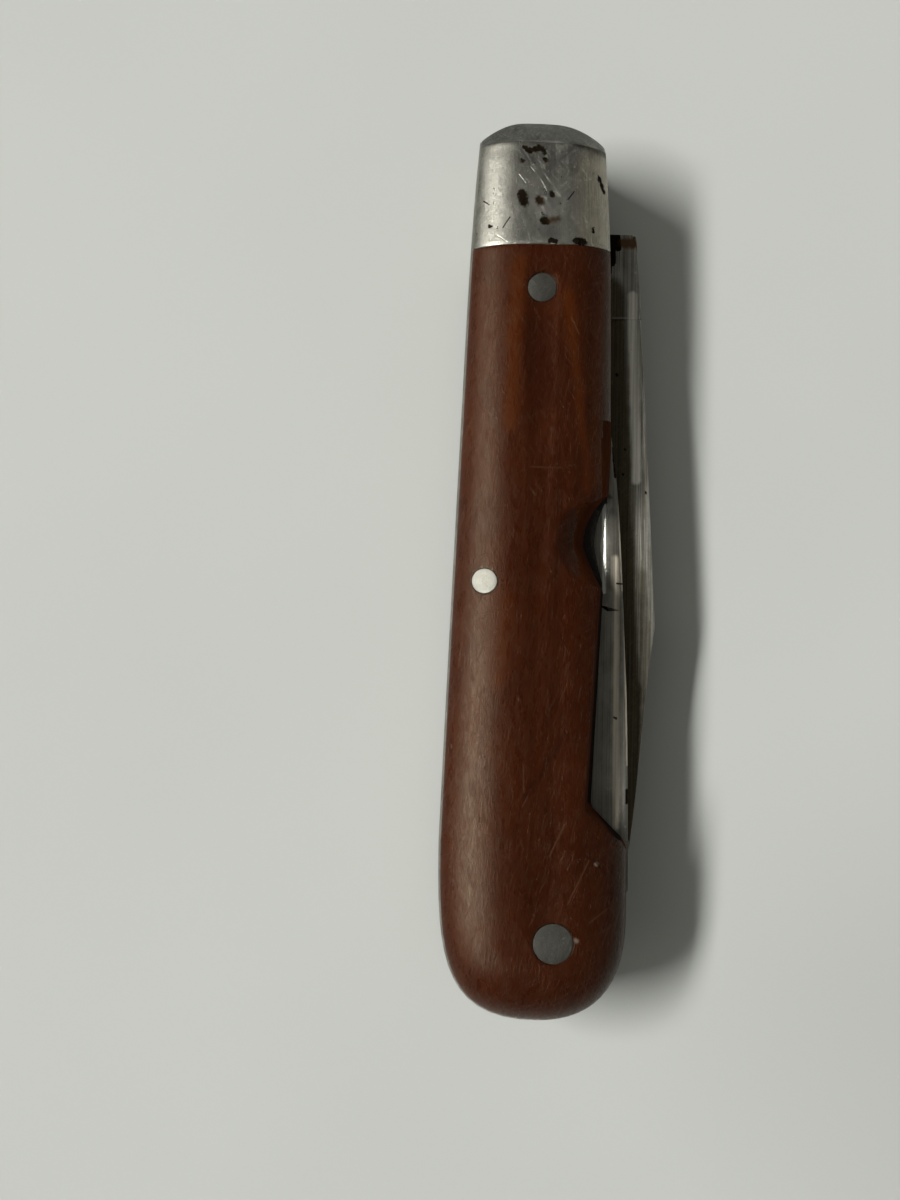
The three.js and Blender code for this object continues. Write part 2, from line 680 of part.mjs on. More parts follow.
/** Make a whole blade about its pivot, pointing down, spine towards the front. */
function bladeSolid(blade, layer, pivotDiameter) {
  const thickness = layer - 2 * SIDE_CLEARANCE;
  const length = bladeLength(blade);
  const tang = slab(tangShape(blade, length), -thickness / 2, thickness / 2);
  const bore = bar(new THREE.Vector2(0, 0), pivotDiameter / 2 + RUNNING_CLEARANCE, -layer, layer);
  const ground = tang.add(groundBlade(blade, thickness, length));
  return ground.subtract(nickCutter(blade, thickness, length)).subtract(bore);
}

/** Give a blade's length from its pivot to its tip. */
function bladeLength(blade) {
  return PIVOT_SPAN - blade.tipShortOfFarPivot;
}

/** Draw the sharpened side of a closed blade, from its kick to its tip, for its well. */
function bladeSilhouette(blade, pivot, direction) {
  const length = bladeLength(blade);
  const edge = edgePoints(blade, length);
  const spine = spinePoints(blade, length).reverse();
  const points = [...edge, ...spine].map(
    (point) => new THREE.Vector2(pivot.x + point.x, pivot.y - direction * point.y),
  );
  return new THREE.Shape(points);
}

/** Make a back spring. Its nose lies on the tang at its blade's pivot, its block on the far pin. */
function spring(blade, pivot, far, bottom, top, holes) {
  const farPivot = far.place;
  const direction = Math.sign(farPivot.y - pivot.y);
  const along = (distance) => pivot.y + direction * distance;
  const face = pivot.x - blade.tangHalfWidth - SEAT_GAP;
  const leafAt = (y) => LEAF_THICKNESS - backAt(y);
  const thinStart = along(NOSE_BELOW_PIVOT + NOSE_RUN);
  const pastTip = bladeLength(blade) + BLOCK_BEYOND_TIP;
  const blockStart = along(Math.min(pastTip, PIVOT_SPAN - far.radius - BLOCK_WALL));
  const blockRun = blockStart - direction * (farPivot.x - leafAt(blockStart)) * BLOCK_SLOPE;
  const outside = SWELL_BACK + OVERRUN;
  const shape = new THREE.Shape();
  shape.moveTo(-outside, along(-blade.shoulder + SEAT_GAP));
  shape.lineTo(face, along(-blade.shoulder + SEAT_GAP));
  shape.lineTo(face, along(NOSE_BELOW_PIVOT));
  shape.lineTo(leafAt(thinStart), thinStart);
  shape.lineTo(leafAt(SPRING_PIN.y), SPRING_PIN.y);
  shape.lineTo(leafAt(blockRun), blockRun);
  shape.lineTo(farPivot.x, blockStart);
  shape.lineTo(SWELL_BACK, along(pastTip));
  shape.lineTo(outside, along(pastTip));
  shape.lineTo(outside, farPivot.y + direction * OVERRUN);
  shape.lineTo(-outside, farPivot.y + direction * OVERRUN);
  const boss = bar(SPRING_PIN, SPRING_PIN_DIAMETER / 2 + BOSS_WALL, bottom, top);
  const whole = slab(shape, bottom, top).add(boss).intersect(slab(OUTLINE, bottom, top));
  return drilled(clearOfBlade(whole, bladeSilhouette(blade, pivot, -direction), direction), holes);
}

/** Clear a spring of the closed blade that lies beside it, along and across. */
function clearOfBlade(solid, silhouette, direction) {
  const shifts = [
    [-1, 0],
    [-Math.SQRT1_2, Math.SQRT1_2 * direction],
    [0, direction],
  ];
  const well = slab(silhouette, -SLACK, TOP_Z + SLACK);
  return shifts.reduce((rest, [across, along]) => {
    return rest.subtract(well.translate([across * WELL_CLEARANCE, along * WELL_CLEARANCE, 0]));
  }, solid);
}

const FINISHES = {
  fibre: { color: 0x7a3b24, roughness: 0.5, metalness: 0 },
  bolsterSteel: { color: 0xa3a19b, roughness: 0.35, metalness: 1 },
  linerSteel: { color: 0x8b8a86, roughness: 0.45, metalness: 1 },
  springSteel: { color: 0x7f7f7c, roughness: 0.4, metalness: 1 },
  bladeSteel: { color: 0xb4b4b0, roughness: 0.28, metalness: 1 },
  rivetSteel: { color: 0x9c9b95, roughness: 0.42, metalness: 1 },
};

/** Make a named mesh from a solid. */
function piece(name, solid, finish) {
  const mesh = new THREE.Mesh(geometryOf(solid), new THREE.MeshStandardMaterial(FINISHES[finish]));
  mesh.name = name;
  return mesh;
}

/** Place a blade on its pivot, in the middle of its layer. */
function placedBlade(mesh, pivot, bottom, layer) {
  mesh.position.set(pivot.x, pivot.y, bottom + layer / 2);
  return mesh;
}

/** Put the whole knife together. */
function knife() {
  const group = new THREE.Group();
  const below = -SLACK;
  const above = TOP_Z + SLACK;
  const nearScale = scale(NEAR_SCALE_Z, above).subtract(leaningCutoutCutter()).subtract(scoopCutter());
  const cutout = slab(cutoutShape(), SMALL_LAYER_Z, TOP_Z + SLACK);
  const nearLiner = liner(NEAR_LINER_Z, NEAR_SCALE_Z, ALL_HOLES).subtract(cutout);
  group.add(
    piece("near_scale", nearScale, "fibre"),
    piece("far_scale", scale(below, SCALE_THICKNESS), "fibre"),
    piece("near_bolster", bolster(NEAR_SCALE_Z, above, 1), "bolsterSteel"),
    piece("far_bolster", bolster(below, SCALE_THICKNESS, -1), "bolsterSteel"),
    piece("near_liner", nearLiner.subtract(linerNotchCutter()), "linerSteel"),
    piece("far_liner", liner(FAR_LINER_Z, MAIN_LAYER_Z, ALL_HOLES), "linerSteel"),
  );
  const throughHoles = [PIN_HOLES.bolster, PIN_HOLES.butt, PIN_HOLES.spring];
  group.add(piece("centre_liner", liner(CENTRE_LINER_Z, SMALL_LAYER_Z, throughHoles), "linerSteel"));

  const mainHoles = [PIN_HOLES.butt, PIN_HOLES.spring];
  const smallHoles = [PIN_HOLES.bolster, PIN_HOLES.spring];
  const [toButt, toBolster] = [PIN_HOLES.butt, PIN_HOLES.bolster];
  const mainLayer = [MAIN_LAYER_Z, CENTRE_LINER_Z];
  const smallLayer = [SMALL_LAYER_Z, NEAR_LINER_Z];
  const mainSpring = spring(MAIN_BLADE, MAIN_PIVOT, toButt, ...mainLayer, mainHoles);
  const smallSpring = spring(SMALL_BLADE, SMALL_PIVOT, toBolster, ...smallLayer, smallHoles);
  group.add(piece("main_spring", mainSpring, "springSteel"));
  group.add(piece("small_spring", smallSpring, "springSteel"));

  group.add(
    piece("bolster_pivot_pin", pin(MAIN_PIVOT, MAIN_PIVOT_DIAMETER, below, above), "bolsterSteel"),
    piece("butt_pivot_pin", pin(SMALL_PIVOT, SMALL_PIVOT_DIAMETER, below, above), "rivetSteel"),
    piece("spring_pin", pin(SPRING_PIN, SPRING_PIN_DIAMETER, below, above), "rivetSteel"),
    piece("near_scale_rivet", pin(SCALE_RIVET, SCALE_RIVET_DIAMETER, NEAR_LINER_Z, above), "rivetSteel"),
    piece("far_scale_rivet", pin(SCALE_RIVET, SCALE_RIVET_DIAMETER, below, MAIN_LAYER_Z), "rivetSteel"),
  );

  const mainSolid = bladeSolid(MAIN_BLADE, MAIN_LAYER, MAIN_PIVOT_DIAMETER);
  const smallSolid = bladeSolid(SMALL_BLADE, SMALL_LAYER, SMALL_PIVOT_DIAMETER);
  const mainBlade = piece("main_blade", mainSolid, "bladeSteel");
  const smallBlade = piece("small_blade", smallSolid, "bladeSteel");
  smallBlade.rotation.x = Math.PI;
  group.add(
    placedBlade(mainBlade, MAIN_PIVOT, MAIN_LAYER_Z, MAIN_LAYER),
    placedBlade(smallBlade, SMALL_PIVOT, SMALL_LAYER_Z, SMALL_LAYER),
  );
  return group;
}

export default knife();
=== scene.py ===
import logging
import math
from dataclasses import dataclass, field
from enum import Enum

import bmesh
import bpy
from mathutils import Matrix, Vector


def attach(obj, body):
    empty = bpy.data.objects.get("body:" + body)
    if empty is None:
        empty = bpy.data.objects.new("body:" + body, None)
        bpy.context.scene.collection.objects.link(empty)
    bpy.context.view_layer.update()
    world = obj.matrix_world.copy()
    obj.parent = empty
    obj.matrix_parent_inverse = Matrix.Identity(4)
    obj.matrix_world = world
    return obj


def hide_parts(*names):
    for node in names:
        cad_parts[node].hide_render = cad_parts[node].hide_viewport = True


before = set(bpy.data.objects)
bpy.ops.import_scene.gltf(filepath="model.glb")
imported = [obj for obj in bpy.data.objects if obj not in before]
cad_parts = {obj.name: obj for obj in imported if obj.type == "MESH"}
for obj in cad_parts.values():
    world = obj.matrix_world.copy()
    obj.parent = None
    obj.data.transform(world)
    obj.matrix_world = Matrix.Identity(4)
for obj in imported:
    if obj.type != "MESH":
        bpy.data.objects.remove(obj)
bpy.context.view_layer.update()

MM = 0.001
LOG = logging.getLogger("pocket_knife")
Colour = tuple[float, float, float]
Place = tuple[float, float]
Triple = tuple[float, float, float]
Body = bmesh.types.BMesh
Piece = bpy.types.Object
Material = bpy.types.Material
Socket = bpy.types.NodeSocket
CUT_OVERRUN = 1.0
JOIN_OVERLAP = 0.5
LAYER_PLAY = 0.1
WELD_REACH = 1e-4


class Cut(Enum):
    """How one body is combined with another."""

    TAKE_AWAY = "DIFFERENCE"
    KEEP_SHARED = "INTERSECT"
    JOIN = "UNION"


class Face(Enum):
    """The two faces of the closed knife."""

    NEAR = 1
    FAR = -1


# Sizes that the knife's pieces share


@dataclass(frozen=True)
class Layers:
    """The knife's layers from the table up, in millimetres."""

    scale: float = 3.3
    liner: float = 0.6
    main: float = 2.5
    centre: float = 0.4
    small: float = 1.5

    @property
    def main_z(self) -> float:
        """The underside of the main blade's layer."""
        return self.scale + self.liner

    @property
    def small_z(self) -> float:
        """The underside of the small blade's layer."""
        return self.main_z + self.main + self.centre

    @property
    def near_scale_z(self) -> float:
        """The underside of the near scale."""
        return self.small_z + self.small + self.liner

    @property
    def top_z(self) -> float:
        """The top of the near scale."""
        return self.near_scale_z + self.scale

    @property
    def near_cut(self) -> Place:
        """The heights between which a cutter goes through the near scale."""
        return (self.near_scale_z - CUT_OVERRUN, self.top_z + CUT_OVERRUN)


LAYERS = Layers()


def bezier(points: list[Place], share: float) -> Place:
    """Give a point on a quadratic or cubic curve.

    Args:
        points: The curve's three or four control points.
        share: How far along the curve, from 0 to 1.

    Returns:
        The point's x and y.
    """
    left = [Vector(point) for point in points]
    while len(left) > 1:
        left = [a.lerp(b, share) for a, b in zip(left, left[1:])]
    return (left[0].x, left[0].y)


def curve(points: list[Place], steps: int) -> list[Place]:
    """Draw a quadratic or cubic curve.

    Args:
        points: The curve's three or four control points.
        steps: How many steps it has.

    Returns:
        Its points, both ends among them.
    """
    return [bezier(points, i / steps) for i in range(steps + 1)]


def smooth_share(value: float, low: float, high: float) -> float:
    """Give 0 below low, 1 above high, and a smooth rise between them."""
    share = min(max((value - low) / (high - low), 0.0), 1.0)
    return share * share * (3 - 2 * share)


@dataclass(frozen=True)
class Outline:
    """The handle's outline and crown, in millimetres."""

    end_y: float = 50.1
    butt_y: float = -50.1
    seam_y: float = 35.6
    swell_y: float = -30.1
    heights: tuple[float, ...] = (-30.1, -9.1, 15.1, 35.6, 50.1)
    front_widths: tuple[float, ...] = (10.48, 9.4, 8.15, 7.66, 6.72)
    back_widths: tuple[float, ...] = (10.58, 9.78, 8.8, 7.93, 6.98)
    end_peak: Place = (-0.9, 0.0)
    end_back: tuple[Place, ...] = ((-3.2, 0.0), (-4.0, 0.1), (-7.06, 2.2))
    end_front: tuple[Place, ...] = ((1.9, 0.0), (3.4, 0.15), (6.55, 2.5))
    end_corner: Place = (6.95, 2.85)
    end_corner_drop: float = 3.6
    butt_low: float = 0.7
    butt_straight_back: float = 18.0
    butt_straight_front: float = 11.4
    butt_rise_back: float = 6.3
    butt_rise_front: float = 3.3
    butt_reach_back: float = 1.2
    butt_reach_front: float = 3.9
    butt_centre: float = -40.0
    crown_land: float = 0.3
    crown_drop: float = 3.0
    crown_drop_at_end: float = 2.1
    crown_fullness: float = 0.8
    inset_front: float = 0.13
    inset_back: float = 0.24
    inset_change: Place = (-2.0, 8.0)
    top_margin: float = 0.004
    corner_steps: int = 8
    end_steps: int = 40

    def _width(self, y: float, widths: tuple[float, ...]) -> float:
        """Read a half width along the handle, from a natural cubic through its stations.

        Args:
            y: The height along the handle.
            widths: The half width at each station.

        Returns:
            The half width.
        """
        t = min(max(y, self.heights[0]), self.heights[-1])
        after = next(i for i in range(1, len(self.heights)) if t <= self.heights[i])
        t0, t1 = self.heights[after - 1], self.heights[after]
        before_ok, after_ok = after >= 2, after + 1 < len(self.heights)
        previous = after - 2 if before_ok else after
        following = after + 1 if after_ok else after - 1
        half = (t1 - t0) / 2
        wp = half / (t0 - self.heights[previous])
        wn = half / (self.heights[following] - t1)
        p = (t - t0) / (t1 - t0)
        return (
            (-wp * p**3 + 2 * wp * p**2 - wp * p) * widths[previous]
            + ((1 + wp) * p**3 + (-1.5 - 2 * wp) * p**2 + (wp - 0.5) * p + 1) * widths[after - 1]
            + ((-1 - wn) * p**3 + (1.5 + wn) * p**2 + 0.5 * p) * widths[after]
            + (wn * p**3 - wn * p**2) * widths[following]
        )

    def front(self, y: float) -> float:
        """The half width on the side where the blades open."""
        return self._width(y, self.front_widths)

    def back(self, y: float) -> float:
        """The half width on the springs' side."""
        return self._width(y, self.back_widths)

    def sides(self, tops: Place, steps: int, butt_steps: int) -> list[Place]:
        """List the outline down the back, round the butt and up the front.

        Args:
            tops: The heights along the handle at which the back and the front start.
            steps: How many steps each straight side has.
            butt_steps: How many steps each half of the butt has.

        Returns:
            The points, anticlockwise from above.
        """
        back_side, front_side = self.back_widths[0], self.front_widths[0]
        low = (self.butt_low, self.butt_y)
        back = [
            (-back_side, self.butt_y + self.butt_straight_back),
            (-back_side, self.butt_y + self.butt_rise_back),
            (self.butt_reach_back - back_side, self.butt_y),
            low,
        ]
        front = [
            low,
            (front_side - self.butt_reach_front, self.butt_y),
            (front_side, self.butt_y + self.butt_rise_front),
            (front_side, self.butt_y + self.butt_straight_front),
        ]
        down, up = (
            [top + (self.swell_y - top) * i / steps for i in range(steps + 1)] for top in tops
        )
        points = [(-self.back(y), y) for y in down]
        points += curve(back, butt_steps)[:-1]
        points += curve(front, butt_steps)
        foot = front[-1][1]
        points += [(front_side, foot + (self.swell_y - foot) * i / 4) for i in range(1, 4)]
        return points + [(self.front(y), y) for y in reversed(up)]

    def whole(self, steps: int = 60) -> list[Place]:
        """List the whole outline with its round end, for a cutter.

        Args:
            steps: How many steps each straight side has.

        Returns:
            The points, anticlockwise from above.
        """
        peak, corner, *curves = (
            (x, self.end_y - self.top_margin - down)
            for x, down in (self.end_peak, self.end_corner, *self.end_back, *self.end_front)
        )
        back, front = curves[:3], curves[3:]
        front_top = self.end_y - self.end_corner_drop
        points = self.sides((back[2][1], front_top), steps, 24)
        points += curve([points[-1], corner, front[2]], self.corner_steps)[1:-1]
        points += curve([front[2], front[1], front[0], peak], self.end_steps)[:-1]
        return points + curve([peak, *back], self.end_steps)[:-1]

    def drop(self, y: float) -> float:
        """How far the crown falls from its flat to its side, at a height along the handle."""
        share = smooth_share(y, 0, self.end_y)
        return self.crown_drop + (self.crown_drop_at_end - self.crown_drop) * share

    def crown_ring(self, sides: list[Place], share: float) -> list[Vector]:
        """Give one ring of the near crown.

        Args:
            sides: The outline's points.
            share: From 0 at the crown's flat to 1 at its side.

        Returns:
            The ring's points.
        """
        fall = 1 - (1 - share**2) ** self.crown_fullness
        ring = []
        for x, y in sides:
            centre = Vector((0, max(y, self.butt_centre)))
            spoke = Vector((x, y)) - centre
            change = smooth_share(x, *self.inset_change)
            inset = self.inset_back + (self.inset_front - self.inset_back) * change
            spoke *= (spoke.length - inset) / spoke.length
            spoke = centre + spoke * (self.crown_land + (1 - self.crown_land) * share)
            ring.append(Vector((spoke.x, spoke.y, LAYERS.top_z - self.top_margin - self.drop(y) * fall)))
        return ring


OUTLINE = Outline()


@dataclass(frozen=True)
class Pin:
    """A round pin or rivet, in millimetres."""

    x: float
    y: float
    diameter: float
    clearance: float = 0.02


SPRING_PIN_Y = -1.1
MAIN_PIVOT = Pin(1.95, 43.3, 3.4)
SMALL_PIVOT = Pin(2.07, -40.5, 4.4)
SPRING_PIN = Pin(3.5 - OUTLINE.back(SPRING_PIN_Y), SPRING_PIN_Y, 2.7)
SCALE_RIVET = Pin(-0.15, 30.9, 3.1)
SCALE_PINS = (SMALL_PIVOT, SPRING_PIN, SCALE_RIVET)
RING_DIRT = 0.3


# Making and shaping bodies


class Bench:
    """The workshop operations that every piece is made with, in millimetres."""

    ROD_FACES = 72

    @staticmethod
    def skin(rings: list[list[Vector]]) -> Body:
        """Wrap a grid round a row of rings and close its ends.

        Args:
            rings: Rings with as many points each, in order.

        Returns:
            The closed body.
        """
        count, last = len(rings[0]), len(rings) - 1
        body = bmesh.new()
        bmesh.ops.create_grid(body, x_segments=count, y_segments=last, size=0.5)
        for vert in body.verts:
            around = round((vert.co.x + 0.5) * count) % count
            vert.co = rings[round((vert.co.y + 0.5) * last)][around]
        bmesh.ops.remove_doubles(body, verts=body.verts, dist=WELD_REACH)
        bmesh.ops.holes_fill(body, edges=[e for e in body.edges if e.is_boundary], sides=0)
        bmesh.ops.recalc_face_normals(body, faces=body.faces)
        return body

    @staticmethod
    def plate(points: list[Place], bottom: float, top: float) -> Body:
        """Extrude a flat outline between two heights.

        Args:
            points: The outline.
            bottom: The underside.
            top: The upper side.

        Returns:
            The closed body.
        """
        body = bmesh.new()
        floor = body.faces.new([body.verts.new((x, y, bottom)) for x, y in points])
        grown = bmesh.ops.extrude_face_region(body, geom=[floor])["geom"]
        raised = [item for item in grown if isinstance(item, bmesh.types.BMVert)]
        bmesh.ops.translate(body, verts=raised, vec=(0, 0, top - bottom))
        bmesh.ops.recalc_face_normals(body, faces=body.faces)
        return body

    @staticmethod
    def rod(pin: Pin, bottom: float, top: float, grow: float = 0.0) -> Body:
        """Make an upright round bar.

        Args:
            pin: Where it stands, and its diameter.
            bottom: Its lower end.
            top: Its upper end.
            grow: How much its radius is larger than the pin's.

        Returns:
            The closed body.
        """
        radius = pin.diameter / 2 + grow
        place = Matrix.Translation((pin.x, pin.y, (bottom + top) / 2))
        body = bmesh.new()
        bmesh.ops.create_cone(
            body, cap_ends=True, segments=Bench.ROD_FACES, radius1=radius, radius2=radius,
            depth=top - bottom, matrix=place,
        )
        return body

    @staticmethod
    def _as_object(body: Body) -> Piece:
        """Turn a body into a short-lived object.

        Args:
            body: The body, which is left as it is.

        Returns:
            The object, linked to the scene.
        """
        mesh = bpy.data.meshes.new("offcut")
        body.to_mesh(mesh)
        made = bpy.data.objects.new("offcut", mesh)
        bpy.context.scene.collection.objects.link(made)
        return made

    @classmethod
    def combine(cls, body: Body, tool: Body, how: Cut) -> Body:
        """Cut a body with another, or join them.

        Args:
            body: The body that is worked on; it is used up.
            tool: The other body; it is used up.
            how: Whether to take away, keep what is shared, or join.

        Returns:
            The new body.
        """
        work, cutter = cls._as_object(body), cls._as_object(tool)
        step = work.modifiers.new("step", "BOOLEAN")
        step.solver, step.operation, step.object = "EXACT", how.value, cutter
        bpy.context.view_layer.update()
        shaped = work.evaluated_get(bpy.context.evaluated_depsgraph_get())
        result = bmesh.new()
        result.from_mesh(shaped.to_mesh())
        shaped.to_mesh_clear()
        for spent in (work, cutter):
            mesh = spent.data
            bpy.data.objects.remove(spent)
            bpy.data.meshes.remove(mesh)
        body.free()
        tool.free()
        bmesh.ops.remove_doubles(result, verts=result.verts, dist=WELD_REACH)
        bmesh.ops.dissolve_degenerate(result, edges=result.edges, dist=WELD_REACH)
        return result

    @staticmethod
    def soften(body: Body, width: float, angle: float = 38.0, steps: int = 2) -> None:
        """Round a body's sharp edges.

        Args:
            body: The body that is worked on.
            width: How far the rounding reaches, in millimetres.
            angle: Edges that turn by more than this many degrees are rounded.
            steps: How many faces each rounding has.
        """
        limit = math.radians(angle)
        sharp = [e for e in body.edges if len(e.link_faces) == 2 and e.calc_face_angle(0) > limit]
        bmesh.ops.bevel(
            body, geom=sharp, offset=width, segments=steps, profile=0.5, affect="EDGES",
            clamp_overlap=False, material=-1,
        )

    @staticmethod
    def finish(body: Body, name: str, finish: Material, angle: float = 30.0) -> Piece:
        """Turn a body into a finished piece in metres, smooth where its faces meet gently.

        Args:
            body: The finished body; it is used up.
            name: The piece's name.
            finish: Its material.
            angle: Edges that turn by more than this many degrees stay crisp.

        Returns:
            The piece's object.
        """
        bmesh.ops.scale(body, vec=(MM, MM, MM), verts=body.verts)
        limit = math.radians(angle)
        for edge in body.edges:
            edge.smooth = len(edge.link_faces) == 2 and edge.calc_face_angle(0) < limit
        for face in body.faces:
            face.smooth = True
        mesh = bpy.data.meshes.new(name)
        body.to_mesh(mesh)
        body.free()
        mesh.materials.append(finish)
        piece = bpy.data.objects.new(name, mesh)
        bpy.context.scene.collection.objects.link(piece)
        LOG.info("%s: %d faces", name, len(mesh.polygons))
        return piece

    @staticmethod
    def flip_over(body: Body) -> None:
        """Mirror a near piece to the far face.

        Args:
            body: The body that is worked on.
        """
        for vert in body.verts:
            vert.co.z = LAYERS.top_z - vert.co.z
        bmesh.ops.reverse_faces(body, faces=body.faces)


# Finishes


@dataclass(frozen=True)
class Mark:
    """A scratch, pit or stain, or a patch of painted light or shade, on a surface, in millimetres: a
    capsule seen from above.
    """

    x: float
    y: float
    width: float
    length: float = 0.0
    turn: float = 0.0
    soft: float = 0.1
    strength: float = 1.0


Marks = tuple[Mark, ...]


class Nodes:
    """Writes shader nodes into one tree."""

    def __init__(self, tree: bpy.types.NodeTree) -> None:
        """Take the tree that the nodes go into."""
        self.tree = tree

    def node(self, kind: str, **settings: object) -> bpy.types.Node:
        """Add a node and set its plain properties.

        Args:
            kind: The node's type, without ShaderNode.
            **settings: Its properties.

        Returns:
            The node.
        """
        made = self.tree.nodes.new("ShaderNode" + kind)
        for key, value in settings.items():
            setattr(made, key, value)
        return made

    def feed(self, socket: Socket, value: object) -> None:
        """Link a socket, or set its value.

        Args:
            socket: The input.
            value: Another node's output, or a number, vector or colour.
        """
        if isinstance(value, Socket):
            self.tree.links.new(value, socket)
        elif isinstance(value, tuple) and len(value) == 3 and socket.type == "RGBA":
            socket.default_value = (*value, 1)
        else:
            socket.default_value = value

    def number(self, how: str, a: object, b: object = 0.0) -> Socket:
        """Add, multiply or otherwise combine two numbers.

        Args:
            how: The operation.
            a: The first number.
            b: The second number, where the operation has one.

        Returns:
            The result.
        """
        made = self.node("Math", operation=how)
        self.feed(made.inputs[0], a)
        self.feed(made.inputs[1], b)
        return made.outputs[0]

    def times(self, a: object, b: object) -> Socket:
        """Multiply two numbers."""
        return self.number("MULTIPLY", a, b)

    def vector(self, how: str, *values: object) -> Socket:
        """Combine up to three vectors.

        Args:
            how: The operation.
            *values: The vectors.

        Returns:
            The new vector, or a number where the operation gives one.
        """
        made = self.node("VectorMath", operation=how)
        for socket, value in zip(made.inputs, values):
            self.feed(socket, value)
        return made.outputs["Value" if how in ("LENGTH", "DOT_PRODUCT") else "Vector"]

    def span(self, value: Socket, low: float, high: float, start: float = 0.0, end: float = 1.0) -> Socket:
        """Map a range smoothly to another.

        Args:
            value: The number to map.
            low: The value that gives start.
            high: The value that gives end.
            start: The result at low and beyond it.
            end: The result at high and beyond it.

        Returns:
            The mapped number.
        """
        made = self.node("MapRange", interpolation_type="SMOOTHSTEP")
        for index, number in enumerate((value, low, high, start, end)):
            self.feed(made.inputs[index], number)
        return made.outputs[0]


class Recipe(Nodes):
    """Writes one material's nodes, with places and sizes in millimetres."""

    def __init__(self, name: str) -> None:
        """Start a material with a principled shader.

        Args:
            name: The material's name.
        """
        self.material = bpy.data.materials.new(name)
        self.material.use_nodes = True
        super().__init__(self.material.node_tree)
        self.shader = self.tree.nodes["Principled BSDF"]
        self.place = self.stretch((1, 1, 1))

    def stretch(self, size: Triple, turn: float = 0.0, shift: Triple = (0, 0, 0)) -> Socket:
        """Give places in millimetres, divided by a grain size on each axis.

        Args:
            size: The grain's size along x, y and z.
            turn: A turn about z, in degrees, before the grain is applied.
            shift: A shift of the pattern, in millimetres.

        Returns:
            The places.
        """
        turned = self.node("Mapping")
        self.feed(turned.inputs["Vector"], self.node("TexCoord").outputs["Object"])
        turned.inputs["Location"].default_value = [c * MM for c in shift]
        turned.inputs["Rotation"].default_value = (0, 0, math.radians(turn))
        return self.vector("MULTIPLY", turned.outputs[0], [1 / (MM * s) for s in size])

    def noise_node(self, **values: object) -> bpy.types.Node:
        """Add a noise node, at the scale of its own places unless a scale is given.

        Args:
            **values: What its inputs are fed, by their names.

        Returns:
            The node.
        """
        made = self.node("TexNoise")
        for name, value in {"Scale": 1.0, **values}.items():
            self.feed(made.inputs[name], value)
        return made

    def noise(self, places: Socket, detail: float = 3.0, rough: float = 0.5, bend: float = 0.0) -> Socket:
        """Add soft noise, about 0.5 on average."""
        made = self.noise_node(Vector=places, Detail=detail, Roughness=rough, Distortion=bend)
        return made.outputs["Fac"]

    def dots(self, spacing: float, low: float, high: float) -> Socket:
        """Scatter round dots.

        Args:
            spacing: How far apart they are, in millimetres.
            low: The share of the spacing up to which a dot is solid.
            high: The share of the spacing at which it ends.

        Returns:
            1 inside the dots and 0 outside.
        """
        made = self.node("TexVoronoi")
        self.feed(made.inputs["Vector"], self.stretch((spacing,) * 3))
        made.inputs["Scale"].default_value = 1.0
        return self.span(made.outputs["Distance"], high, low)

    def hairs(self, size: Triple, turns: tuple[float, ...], strength: float) -> Socket:
        """Give fine hair scratches, which run in a few directions."""
        noises = [self.noise(self.stretch(size, turn), 2) for turn in turns]
        return self.most(*(self.span(noise, 0.62, 0.74, 0.0, strength) for noise in noises))

    def roughness(self, size: Triple, middle: float, less: float, more: float) -> Socket:
        """Give a roughness that wanders about a middle value."""
        return self.span(self.noise(self.stretch(size), 4, 0.6), 0.3, 0.7, middle - less, middle + more)

    def most(self, *values: Socket) -> Socket:
        """Give the largest of several numbers.

        Args:
            *values: The numbers.

        Returns:
            The largest.
        """
        result = values[0]
        for value in values[1:]:
            result = self.number("MAXIMUM", result, value)
        return result

    def blend(self, share: object, a: object, b: object, how: str = "MIX") -> Socket:
        """Blend two colours.

        Args:
            share: How much of the second there is, from 0 to 1.
            a: The first colour.
            b: The second colour.
            how: The kind of blend.

        Returns:
            The new colour.
        """
        made = self.node("Mix", data_type="RGBA", blend_type=how)
        for name, value in (("Factor_Float", share), ("A_Color", a), ("B_Color", b)):
            self.feed(next(s for s in made.inputs if s.identifier == name), value)
        return next(s for s in made.outputs if s.identifier == "Result_Color")

    def warped(self, amount: float, grain: float) -> Socket:
        """Give places in the plan, shaken by noise.

        Args:
            amount: How far a place moves, in millimetres.
            grain: How fine the noise is, in millimetres.

        Returns:
            The places, in millimetres, with a height of 0.
        """
        noise = self.noise_node(Vector=self.place, Scale=1 / grain, Detail=3.0).outputs["Color"]
        centred = self.vector("SUBTRACT", noise, (0.5, 0.5, 0.5))
        shaken = self.vector("MULTIPLY_ADD", centred, (2 * amount, 2 * amount, 0), self.place)
        return self.vector("MULTIPLY", shaken, (1, 1, 0))

    def mark(self, plan: Socket, mark: Mark) -> Socket:
        """Draw one mark, with its edge softened.

        Args:
            plan: Places in the plan, in millimetres.
            mark: The mark.

        Returns:
            The mark's strength inside it and 0 outside.
        """
        turned = self.node("VectorRotate", rotation_type="Z_AXIS")
        self.feed(turned.inputs["Vector"], self.vector("SUBTRACT", plan, (mark.x, mark.y, 0)))
        turned.inputs["Angle"].default_value = -math.radians(mark.turn)
        folded = self.vector("ABSOLUTE", turned.outputs[0])
        beyond = self.vector("SUBTRACT", folded, (mark.length / 2, 0, 0))
        away = self.vector("LENGTH", self.vector("MAXIMUM", beyond, (0, 0, 0)))
        half = mark.width / 2
        return self.span(away, half + mark.soft, max(half - mark.soft, 0.0), 0.0, mark.strength)

    def marks(self, plan: Socket, marks: Marks) -> Socket:
        """Give the strongest of several marks."""
        return self.most(*(self.mark(plan, mark) for mark in marks))

